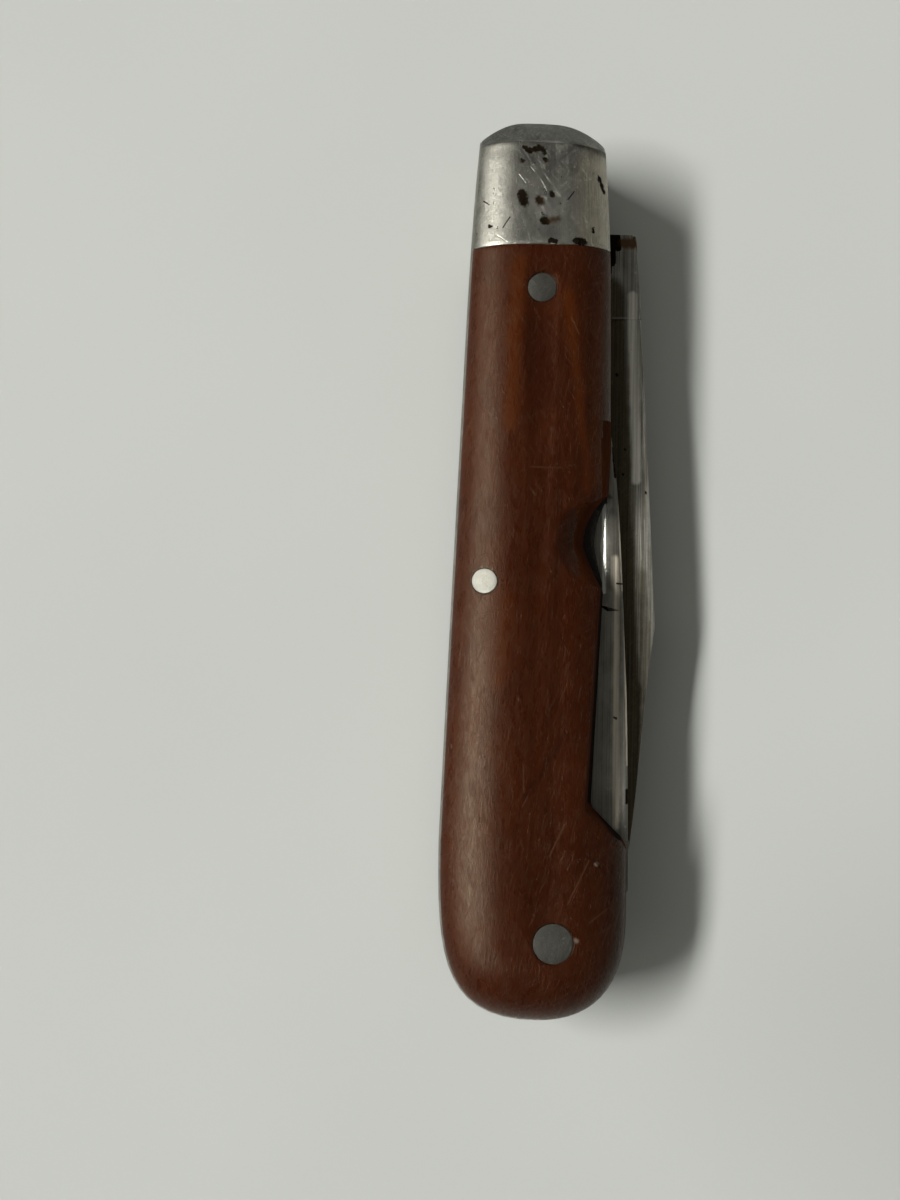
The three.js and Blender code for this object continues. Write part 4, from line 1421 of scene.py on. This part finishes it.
    def scoop(self) -> Body:
        """Make the cutter for the thumb scoop, whose wall rolls over at the crown.

        Returns:
            The closed body.
        """
        outside, rings = self.cutout_x(self.scoop_y) + self.overrun, []
        low, height = LAYERS.near_scale_z - CUT_OVERRUN / 2, LAYERS.scale + CUT_OVERRUN
        for step in range(self.wall_steps + 1):
            z = low + height * step / self.wall_steps
            points = self.bite((max(z - LAYERS.near_scale_z, 0) / LAYERS.scale) ** self.scoop_wall_ease)
            points += [(outside, points[-1][1]), (outside, points[0][1])]
            rings.append([Vector((x, y, z)) for x, y in points])
        return Bench.skin(rings)

    def scale(self, name: str, side: Face, finish: Material) -> Piece:
        """Make one scale.

        Args:
            name: The piece's name.
            side: The face that it is on.
            finish: Its material.

        Returns:
            The piece's object.
        """
        body = self.crowned(OUTLINE.seam_y + self.seam_overrun)
        self.trimmed(body, OUTLINE.seam_y - self.seam_gap, keep_above=False)
        if side is Face.NEAR:
            body = Bench.combine(body, self.cutout(), Cut.TAKE_AWAY)
            body = Bench.combine(body, self.scoop(), Cut.TAKE_AWAY)
        for pin in SCALE_PINS:
            body = Bench.combine(body, Bench.rod(pin, *LAYERS.near_cut, pin.clearance), Cut.TAKE_AWAY)
        Bench.soften(body, self.scale_edge)
        if side is Face.FAR:
            Bench.flip_over(body)
            return Bench.finish(body, name, finish)
        self.walls_with_painted_light(body)
        piece = Bench.finish(body, name, finish)
        piece.data.materials.append(LIT_WALL_FIBRE.make())
        return piece

    def walls_with_painted_light(self, body: Body) -> None:
        """Give the walls of the scoop and the cut-out a paler fibre with painted light, and painted shade
        along the cut-out.

        Args:
            body: The near scale's body.
        """
        body.normal_update()
        low, floor = self.cutout_shoulder - self.cutout_depth, LAYERS.near_scale_z + 0.01
        for face in body.faces:
            centre = face.calc_center_median()
            inside = low < centre.y < self.cutout_top and centre.x > 1
            slope = self.wall_slope if inside else self.rim_slope
            if centre.z > floor and centre.x > 0 and face.normal.z < slope:
                face.material_index = 1

    def facet(self) -> Body:
        """Make the body that the bolster keeps: the crown again, tilted along the handle into the facet.

        Returns:
            The closed body.
        """
        body = self.sunk(OUTLINE.end_y + self.overrun, 2 * self.overrun)
        tilt = Matrix.Identity(4)
        tilt[2][0] = self.facet_slope * self.facet_slant
        tilt[2][1] = -self.facet_slope
        tilt[2][3] = self.facet_slope * (OUTLINE.end_y - self.facet_length)
        bmesh.ops.transform(body, verts=body.verts, matrix=tilt)
        return body

    def bolster(self, name: str, side: Face, finish: Material) -> Piece:
        """Make one bolster.

        Args:
            name: The piece's name.
            side: The face that it is on.
            finish: Its material.

        Returns:
            The piece's object.
        """
        body = self.crowned(OUTLINE.end_y + self.overrun)
        self.trimmed(body, OUTLINE.seam_y, keep_above=True)
        body = Bench.combine(body, Bench.plate(OUTLINE.whole(), *LAYERS.near_cut), Cut.KEEP_SHARED)
        body = Bench.combine(body, self.facet(), Cut.KEEP_SHARED)
        Bench.soften(body, self.bolster_edge, self.bolster_edge_angle)
        if side is Face.FAR:
            Bench.flip_over(body)
        return Bench.finish(body, name, finish)

    def rivet(self, name: str, pin: Pin, low: float, high: float, finish: Material) -> Piece:
        """Make a rivet whose ends follow the crowns it comes out of.

        Args:
            name: The piece's name.
            pin: Where it is, and its diameter.
            low: Its lower end, or below 0 where it shows on the far face.
            high: Its upper end, or above the crown where it shows on the near face.
            finish: Its material.

        Returns:
            The piece's object.
        """
        body = Bench.rod(pin, max(low, LAYERS.scale), min(high, LAYERS.near_scale_z))
        for side, reach in ((Face.NEAR, high), (Face.FAR, LAYERS.top_z - low)):
            if reach > LAYERS.near_scale_z:
                head = Bench.rod(pin, LAYERS.near_scale_z - JOIN_OVERLAP, reach)
                crown = self.sunk(OUTLINE.seam_y + self.seam_overrun, CUT_OVERRUN)
                head = Bench.combine(head, crown, Cut.KEEP_SHARED)
                if side is Face.FAR:
                    Bench.flip_over(head)
                body = Bench.combine(body, head, Cut.JOIN)
        Bench.soften(body, self.rivet_edge)
        return Bench.finish(body, name, finish)

    def sunk(self, top: float, depth: float) -> Body:
        """Make the crowned body with its foot sunk below the liner, to cut with.

        Args:
            top: The height along the handle at which it ends.
            depth: How far the foot is sunk.

        Returns:
            The closed body.
        """
        body = self.crowned(top)
        for vert in body.verts:
            if vert.co.z < LAYERS.near_scale_z + 1e-3:
                vert.co.z -= depth
        return body


# Blades


@dataclass(frozen=True)
class BladeSizes:
    """One blade's sizes from its pivot, in millimetres."""

    pivot: Pin
    layer: float
    length: float
    tang_half: float
    tang_radius: float
    shoulder: float
    spine_at_shoulder: float
    spine_peak: float
    kick: float
    ricasso: float
    edge_offset: float
    tip_offset: float
    clip_length: float
    clip_drop: float
    clip_start_ease: float
    clip_tip_rise: float
    clip_tip_ease: float
    belly: float
    spine_chamfer: float
    spine_round: float
    spine_land: float
    taper: float
    edge_thickness: float
    nick_from_shoulder: float
    nick_from_spine: float
    nick_length: float
    nick_wheel: float
    nick_tilt: float = 24.0
    nick_rim: float = 0.07
    hollow: float = 0.12
    ground_off: float = 0.06
    chamfer_limit: float = 0.2
    land_limit: float = 0.45
    spine_bulge: float = 0.2
    belly_eases: Place = (0.5, 0.1)
    belly_rise: float = 0.45
    tip_land: float = 0.4
    shoulder_corner: float = 0.7
    heel: float = 0.6
    choil_depth: float = 0.6
    choil_drops: tuple[float, ...] = (0.2, 1.8, 2.6)
    ricasso_inset: float = 0.25

    @property
    def thickness(self) -> float:
        """The tang's thickness, with some play in its layer."""
        return self.layer - LAYER_PLAY


@dataclass
class Blade:
    """One folding blade, pointing down from its pivot with its spine towards the front."""

    sizes: BladeSizes
    stations: int = 90
    tip_crowding: float = 1.35
    bevel_steps: int = 12
    tang_steps: int = 24
    ground_overlap: float = 0.2
    ground_inset: float = 0.06
    wheel_faces: int = 360
    wheel_thickness: float = 3.0
    bore_clearance: float = 0.05
    edge_break: float = 0.035
    edge_break_angle: float = 50.0

    def spine(self) -> list[Place]:
        """Draw the spine.

        Returns:
            Its points from the shoulder to the tip.
        """
        s = self.sizes
        start, tip = s.length - s.clip_length, s.tip_offset + s.tip_land / 2
        back = [
            (s.spine_at_shoulder, -s.shoulder),
            ((s.spine_at_shoulder + s.spine_peak) / 2 + s.spine_bulge, -(s.shoulder + start) / 2),
            (s.spine_peak, -start),
        ]
        clip = [
            (s.spine_peak, -start),
            (s.spine_peak - s.clip_drop, -start - s.clip_length * s.clip_start_ease),
            (tip + s.clip_tip_rise, -s.length + s.clip_length * s.clip_tip_ease),
            (tip, -s.length),
        ]
        return curve(back, 60)[:-1] + curve(clip, 80)

    def edge(self) -> list[Place]:
        """Draw the edge.

        Returns:
            Its points from the kick to the tip.
        """
        s = self.sizes
        start = s.length - s.belly
        start_ease, tip_ease = s.belly_eases
        belly = [
            (-s.edge_offset, -start),
            (-s.edge_offset, -start - s.belly * start_ease),
            (s.tip_offset * s.belly_rise, -s.length + s.belly * tip_ease),
            (s.tip_offset - s.tip_land / 2, -s.length),
        ]
        return [(-s.edge_offset, -s.kick), *curve(belly, 100)]

    @staticmethod
    def across(line: list[Place], along: float) -> float:
        """Read how far across a drawn line lies.

        Args:
            line: The line's points, from the pivot outwards.
            along: The place along the blade.

        Returns:
            The line's x there.
        """
        for (x0, y0), (x1, y1) in zip(line, line[1:]):
            if y1 <= along <= y0:
                return x0 + (x1 - x0) * (along - y0) / (y1 - y0)
        return line[0][0] if along > line[0][1] else line[-1][0]

    def section(self, spine: float, edge: float, along: float, share: float) -> list[Vector]:
        """Draw one section: rounded spine, land, hollow bevel and edge, on both faces.

        Args:
            spine: How far across the spine lies.
            edge: How far across the edge lies.
            along: The place along the blade.
            share: How far the section is towards the tip, from 0 to 1.

        Returns:
            The section's points.
        """
        s = self.sizes
        width = spine - edge
        chamfer = min(s.spine_chamfer, width * s.chamfer_limit)
        land = min(chamfer + s.spine_land, width * s.land_limit)
        full = (s.thickness / 2 - s.ground_off) * (1 - s.taper * share**2)
        thin = s.edge_thickness / 2
        base = s.spine_round + 0.02
        upper = [(spine, full * 0.2), (spine, full * (base - 0.08)), (spine - chamfer * 0.06, full * base)]
        upper += [(spine - chamfer * t, full * (base + (1 - base) * t)) for t in (0.35, 0.7, 0.95)]
        upper += [(spine - chamfer - 0.03, full), (spine - land, full)]
        for i in range(1, self.bevel_steps + 1):
            part = i / self.bevel_steps
            height = full + (thin - full) * part - full * s.hollow * 4 * part * (1 - part)
            upper.append((spine - land - (width - land) * part, height))
        lower = [(x, -z) for x, z in reversed(upper)]
        return [Vector((x, along, z)) for x, z in [*upper, *lower]]

    def ground(self) -> Body:
        """Make the ground part, thinning from the ricasso to the tip.

        Returns:
            The closed body.
        """
        s = self.sizes
        spine, edge, rings = self.spine(), self.edge(), []
        for station in range(self.stations + 1):
            share = 1 - (1 - station / self.stations) ** self.tip_crowding
            reach = s.length - s.ricasso + self.ground_overlap
            along = -(s.ricasso - self.ground_overlap + reach * share)
            back = self.across(spine, along) - self.ground_inset
            rings.append(self.section(back, self.across(edge, along), along, share))
        return Bench.skin(rings)

    def tang(self) -> Body:
        """Make the tang: a round end between two flats, the kick, the choil and the ricasso.

        Returns:
            The closed body.
        """
        s = self.sizes
        half, turn = s.tang_half, math.asin(s.tang_half / s.tang_radius)
        choil, flat, kick = s.choil_depth - s.edge_offset, s.ricasso_inset - s.edge_offset, -s.kick
        points = [(half, -s.shoulder)]
        for i in range(self.tang_steps + 1):
            angle = turn - 2 * turn * i / self.tang_steps
            points.append((s.tang_radius * math.sin(angle), s.tang_radius * math.cos(angle)))
        points += curve([(-half, kick + s.heel), (-half, kick), (s.heel - half, kick)], 8)
        top, middle, foot = (kick - drop for drop in s.choil_drops)
        points += curve([(s.heel - half, kick), (choil, top), (choil, middle)], 10)[1:]
        points += [(flat, foot), (flat, -s.ricasso)]
        points.append((self.across(self.spine(), -s.ricasso), -s.ricasso))
        back, corner = s.spine_at_shoulder, s.shoulder_corner
        bend = [(back, -s.shoulder - corner), (back, -s.shoulder), (back - corner, -s.shoulder)]
        points += curve(bend, 8)
        return Bench.plate(points, -s.thickness / 2, s.thickness / 2)

    def nick(self) -> Body:
        """Make the wheel that grinds the nail nick, its floor turned to the edge.

        Returns:
            The closed body.
        """
        s = self.sizes
        along, radius = -s.shoulder - s.nick_from_shoulder, s.nick_wheel
        tilt = math.radians(s.nick_tilt)
        bite = s.nick_length**2 / (8 * radius)
        axis = Vector((-math.sin(tilt), 0, -math.cos(tilt)))
        outward = Vector((math.cos(tilt), 0, -math.sin(tilt)))
        x = self.across(self.spine(), along) - s.nick_from_spine
        start = Vector((x, along, s.nick_rim - s.layer / 2))
        centre = start + outward * (radius - bite) + axis * (self.wheel_thickness / 2)
        turn = Vector((0, 0, 1)).rotation_difference(axis)
        place = Matrix.Translation(centre) @ turn.to_matrix().to_4x4()
        body = bmesh.new()
        bmesh.ops.create_cone(
            body, cap_ends=True, segments=self.wheel_faces, radius1=radius, radius2=radius,
            depth=self.wheel_thickness, matrix=place,
        )
        return body

    def make(self, name: str, bottom: float, over: bool, finish: Material) -> Piece:
        """Make the whole blade in its closed place.

        Args:
            name: The piece's name.
            bottom: The underside of its layer.
            over: Whether it is turned over, end for end, for the butt.
            finish: Its material.

        Returns:
            The piece's object.
        """
        s = self.sizes
        body = Bench.combine(self.tang(), self.ground(), Cut.JOIN)
        body = Bench.combine(body, self.nick(), Cut.TAKE_AWAY)
        bore = Bench.rod(Pin(0, 0, s.pivot.diameter), -s.layer, s.layer, self.bore_clearance)
        body = Bench.combine(body, bore, Cut.TAKE_AWAY)
        Bench.soften(body, self.edge_break, self.edge_break_angle, 1)
        if over:
            bmesh.ops.rotate(body, verts=body.verts, matrix=Matrix.Rotation(math.pi, 3, "X"))
        bmesh.ops.translate(body, verts=body.verts, vec=(s.pivot.x, s.pivot.y, bottom + s.layer / 2))
        return Bench.finish(body, name, finish)


PIVOT_SPAN = MAIN_PIVOT.y - SMALL_PIVOT.y
MAIN_BLADE = BladeSizes(
    pivot=MAIN_PIVOT, layer=LAYERS.main, length=PIVOT_SPAN - 3.2, tang_half=5.2, tang_radius=6.1,
    shoulder=4.5, spine_at_shoulder=9.1, spine_peak=11.95, kick=6.9, ricasso=14.2, edge_offset=2.2,
    tip_offset=8.0, clip_length=31.3, clip_drop=1.35, clip_start_ease=0.293, clip_tip_rise=1.83,
    clip_tip_ease=0.163, belly=26.0, spine_chamfer=1.2, spine_round=0.88, spine_land=0.2, taper=0.4,
    edge_thickness=0.25, nick_from_shoulder=30.0, nick_from_spine=2.2, nick_length=12.0, nick_wheel=15.0,
)
SMALL_BLADE = BladeSizes(
    pivot=SMALL_PIVOT, layer=LAYERS.small, length=PIVOT_SPAN - 18.4, tang_half=5.4, tang_radius=6.2,
    shoulder=4.5, spine_at_shoulder=8.75, spine_peak=8.35, kick=6.0, ricasso=10.5, edge_offset=0.6,
    tip_offset=2.6, clip_length=38.0, clip_drop=0.93, clip_start_ease=0.38, clip_tip_rise=4.7,
    clip_tip_ease=0.13, belly=24.0, spine_chamfer=0.4, spine_round=0.68, spine_land=2.6, taper=0.3,
    edge_thickness=0.2, nick_from_shoulder=38.8, nick_from_spine=1.35, nick_length=16.0, nick_wheel=40.0,
)


# Liners, springs and studio


@dataclass
class InnerWorks:
    """The liners and springs: the frame's own nodes, with their edges broken and a finish."""

    edge_break: float = 0.05
    edge_angle: float = 40.0
    weld_reach: float = 0.002
    liners: tuple[str, ...] = ("near_liner", "far_liner", "centre_liner")
    springs: tuple[str, ...] = ("main_spring", "small_spring")

    def dress(self, names: tuple[str, ...], slot: str, finish: Material) -> None:
        """Give nodes their finish and break their edges.

        Args:
            names: The nodes' names.
            slot: Not used.
            finish: Their material.
        """
        for name in names:
            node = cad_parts[name]
            node.data.materials.clear()
            node.data.materials.append(finish)
            weld = node.modifiers.new("weld", "WELD")
            weld.merge_threshold = self.weld_reach * MM
            edges = node.modifiers.new("broken_edges", "BEVEL")
            edges.width, edges.segments = self.edge_break * MM, 2
            edges.limit_method, edges.angle_limit = "ANGLE", math.radians(self.edge_angle)
            edges.harden_normals = False
            LOG.info("%s: kept from the frame", name)


@dataclass
class Studio:
    """Table top, lamp, sky and camera: levels, directions, and sizes in metres unless named otherwise.

    Attributes:
        elevation: The lamp's height over the table, in degrees.
        azimuth: Its direction from the knife, in degrees.
        distance: How far away it is.
        lamp_size: Its length and height.
        lamp_level: How brightly it lights a pale face.
        horizon_level: The room's level near the table.
        ring_level: The room's level high on the walls.
        zenith_level: The room's level straight overhead.
        walls: Where, as a direction's z, the level changes from the first to the second.
        overhead: Where it changes to the third.
        glossy_share: How much of the room polished surfaces mirror.
        backdrop_level: What the camera sees past the table.
        sky_tone: The room's colour.
        lamp_tone: The lamp's colour.
        window_levels: The mirrored window's level at its brighter and at its darker end.
        window_half: Half its length and half its height, as shares of the way to it.
        window_soft: How soft its edges are, as a share of its halves.
        window_fade: The places along it between which its level changes.
        window_middle: The direction of its middle.
        window_along: The direction along it.
        camera_place: The camera's place, in millimetres.
        camera_turn: Its turn about the upright axis, in radians.
        lens: Its focal length, in millimetres.
        table_half: Half the table's width, in millimetres.
    """

    elevation: float = 39.0
    azimuth: float = 172.0
    distance: float = 6.0
    lamp_size: Place = (3.8, 0.70)
    lamp_level: float = 0.86
    horizon_level: float = 0.10
    ring_level: float = 0.20
    zenith_level: float = 0.03
    walls: Place = (0.1, 0.8)
    overhead: Place = (0.955, 0.995)
    glossy_share: float = 0.5
    backdrop_level: float = 0.6
    sky_tone: Colour = (1.0, 0.99, 0.93)
    lamp_tone: Colour = (1.0, 0.995, 0.985)
    window_levels: Place = (19.5, 6.0)
    window_half: Place = (0.5, 0.09)
    window_soft: float = 0.35
    window_fade: Place = (-0.3, 0.35)
    window_middle: Triple = (-0.718, 0.042, 0.694)
    window_along: Triple = (-0.145, 0.967, -0.209)
    camera_place: Triple = (-9.69, -3.24, 125.0)
    camera_turn: float = 0.0146
    lens: float = 31.14
    table_half: float = 1500.0

    def towards_lamp(self) -> Vector:
        """Give the direction from the knife to the lamp."""
        rise, turn = math.radians(self.elevation), math.radians(self.azimuth)
        return Vector((math.cos(rise) * math.cos(turn), math.cos(rise) * math.sin(turn), math.sin(rise)))

    def table(self) -> None:
        """Lay the table top."""
        top = bmesh.new()
        bmesh.ops.create_grid(top, x_segments=4, y_segments=4, size=self.table_half)
        floor = Bench.finish(top, "table", TableTop().make())

    def lamp(self) -> None:
        """Hang one long soft lamp to the left; its mirror image is the sky's soft window instead."""
        towards = self.towards_lamp()
        light = bpy.data.lights.new("long_lamp", "AREA")
        light.shape = "RECTANGLE"
        light.size, light.size_y = self.lamp_size
        light.energy = self.lamp_level * math.pi * math.pi * self.distance**2 / towards.z
        light.color = self.lamp_tone
        lamp = bpy.data.objects.new("long_lamp", light)
        lamp.location = towards * self.distance
        lamp.rotation_euler = towards.to_track_quat("Z", "Y").to_euler()
        lamp.visible_glossy = False
        bpy.context.scene.collection.objects.link(lamp)

    def window(self, nodes: Nodes, direction: Socket) -> Socket:
        """Write the soft window that polished surfaces mirror, brighter towards one end.

        Args:
            nodes: The world's nodes.
            direction: Where a ray goes.

        Returns:
            The window's level, and 0 beside it.
        """
        middle, length = Vector(self.window_middle), Vector(self.window_along)
        window = nodes.span(nodes.vector("DOT_PRODUCT", direction, middle), 0.5, 0.6)
        for axis, half in zip((length, middle.cross(length)), self.window_half):
            aside = nodes.number("ABSOLUTE", nodes.vector("DOT_PRODUCT", direction, axis))
            outer, inner = half * (1 + self.window_soft), half * (1 - self.window_soft)
            window = nodes.times(window, nodes.span(aside, outer, inner))
        lengthwise = nodes.vector("DOT_PRODUCT", direction, length)
        return nodes.times(window, nodes.span(lengthwise, *self.window_fade, *self.window_levels))

    def sky(self) -> None:
        """Make a dim room: dark overhead, paler around, with a soft window where the lamp is."""
        world = bpy.data.worlds.new("room")
        bpy.context.scene.world = world
        world.use_nodes = True
        nodes = Nodes(world.node_tree)
        direction = nodes.node("TexCoord").outputs["Generated"]
        rise = nodes.vector("DOT_PRODUCT", direction, (0, 0, 1))
        level = nodes.span(rise, *self.walls, self.horizon_level, self.ring_level)
        overhead = nodes.span(rise, *self.overhead, 1.0, self.zenith_level / self.ring_level)
        path = nodes.node("LightPath").outputs
        glossy = path["Is Glossy Ray"]
        dimmed = nodes.span(glossy, 0.0, 1.0, 1.0, self.glossy_share)
        level = nodes.times(nodes.times(level, overhead), dimmed)
        level = nodes.number("ADD", level, nodes.times(self.window(nodes, direction), glossy))
        seen = nodes.node("Mix")
        sources = {"Factor": path["Is Camera Ray"], "A": level, "B": self.backdrop_level}
        for name, value in sources.items():
            nodes.feed(seen.inputs[name], value)
        shade = world.node_tree.nodes["Background"]
        nodes.feed(shade.inputs["Strength"], seen.outputs["Result"])
        nodes.feed(shade.inputs["Color"], self.sky_tone)

    def camera(self) -> None:
        """Set the camera straight above, as the photograph was taken."""
        lens = bpy.data.cameras.new("camera")
        lens.sensor_fit, lens.sensor_height, lens.lens = "VERTICAL", 36.0, self.lens
        lens.clip_start, lens.clip_end = 0.005, 20.0
        eye = bpy.data.objects.new("camera", lens)
        eye.location = [c * MM for c in self.camera_place]
        eye.rotation_euler = (0, 0, self.camera_turn)
        bpy.context.scene.collection.objects.link(eye)
        bpy.context.scene.camera = eye
        bpy.context.scene.view_settings.view_transform = "Standard"

    def build(self) -> None:
        """Set up the whole studio."""
        self.camera()
        self.table()
        self.lamp()
        self.sky()


# The whole knife


@dataclass
class Knife:
    """The folding knife, put together from its sub-assemblies."""

    handle: Handle = field(default_factory=Handle)
    inner: InnerWorks = field(default_factory=InnerWorks)

    @staticmethod
    def fit(piece: Piece, body: str, slot: str, *nodes: str) -> None:
        """Hang a piece on its body, in place of its nodes.

        Args:
            piece: The piece.
            body: The CAD body that it moves with.
            slot: Not used.
            *nodes: The CAD nodes that it stands for.
        """
        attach(piece, body)
        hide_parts(*nodes)

    def build(self) -> None:
        """Build and dress every piece."""
        fibre_near = NEAR_FIBRE.make()
        fibre_far = Fibre(name="fibre_scale_far").make()
        bolster_near = NEAR_BOLSTER_STEEL.make()
        bolster_far = Steel(name="bolster_steel_far").make()
        rivet = RIVET_STEEL.make()
        spring_rivet = WORN_RIVET_STEEL.make()
        main_steel = MAIN_BLADE_STEEL.make()
        small_steel = SMALL_BLADE_STEEL.make()
        liner = LINER_STEEL.make()
        spring = SPRING_STEEL.make()

        handle, low, high = self.handle, -CUT_OVERRUN, LAYERS.near_cut[1]
        near, far = Face.NEAR, Face.FAR
        scale = handle.scale("near_fibre_scale", near, fibre_near)
        self.fit(scale, "handle", "fibre_scale", "near_scale")
        scale = handle.scale("far_fibre_scale", far, fibre_far)
        self.fit(scale, "handle", "fibre_scale", "far_scale")
        bolster = handle.bolster("near_steel_bolster", near, bolster_near)
        self.fit(bolster, "handle", "bolster_steel", "near_bolster")
        bolster = handle.bolster("far_steel_bolster", far, bolster_far)
        self.fit(bolster, "handle", "bolster_steel", "far_bolster")
        pivot = Bench.rod(MAIN_PIVOT, LAYERS.scale - JOIN_OVERLAP, LAYERS.near_scale_z + JOIN_OVERLAP)
        pivot = Bench.finish(pivot, "bolster_pin", bolster_far)
        self.fit(pivot, "handle", "bolster_steel", "bolster_pivot_pin")
        liner_z = LAYERS.near_scale_z - LAYERS.liner
        rivets = (
            ("butt_rivet", SMALL_PIVOT, low, high, rivet, "butt_pivot_pin"),
            ("middle_rivet", SPRING_PIN, low, high, spring_rivet, "spring_pin"),
            ("near_rivet", SCALE_RIVET, liner_z, high, rivet, "near_scale_rivet"),
            ("far_rivet", SCALE_RIVET, low, LAYERS.main_z, rivet, "far_scale_rivet"),
        )
        for name, pin, bottom, top, finish, node in rivets:
            self.fit(handle.rivet(name, pin, bottom, top, finish), "handle", "rivet_steel", node)
        main = Blade(MAIN_BLADE).make("long_blade", LAYERS.main_z, False, main_steel)
        self.fit(main, "main_blade", "blade_steel", "main_blade")
        small = Blade(SMALL_BLADE).make("short_blade", LAYERS.small_z, True, small_steel)
        self.fit(small, "small_blade", "blade_steel", "small_blade")
        self.inner.dress(self.inner.liners, "liner_steel", liner)
        self.inner.dress(self.inner.springs, "spring_steel", spring)


def write_sizes() -> None:
    """Bring the view layer up to date."""
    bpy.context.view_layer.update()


def main() -> None:
    """Build the studio and the knife."""
    logging.basicConfig(level=logging.INFO, format="%(name)s: %(message)s")
    Studio().build()
    Knife().build()
    write_sizes()


if __name__ == "__main__":
    main()
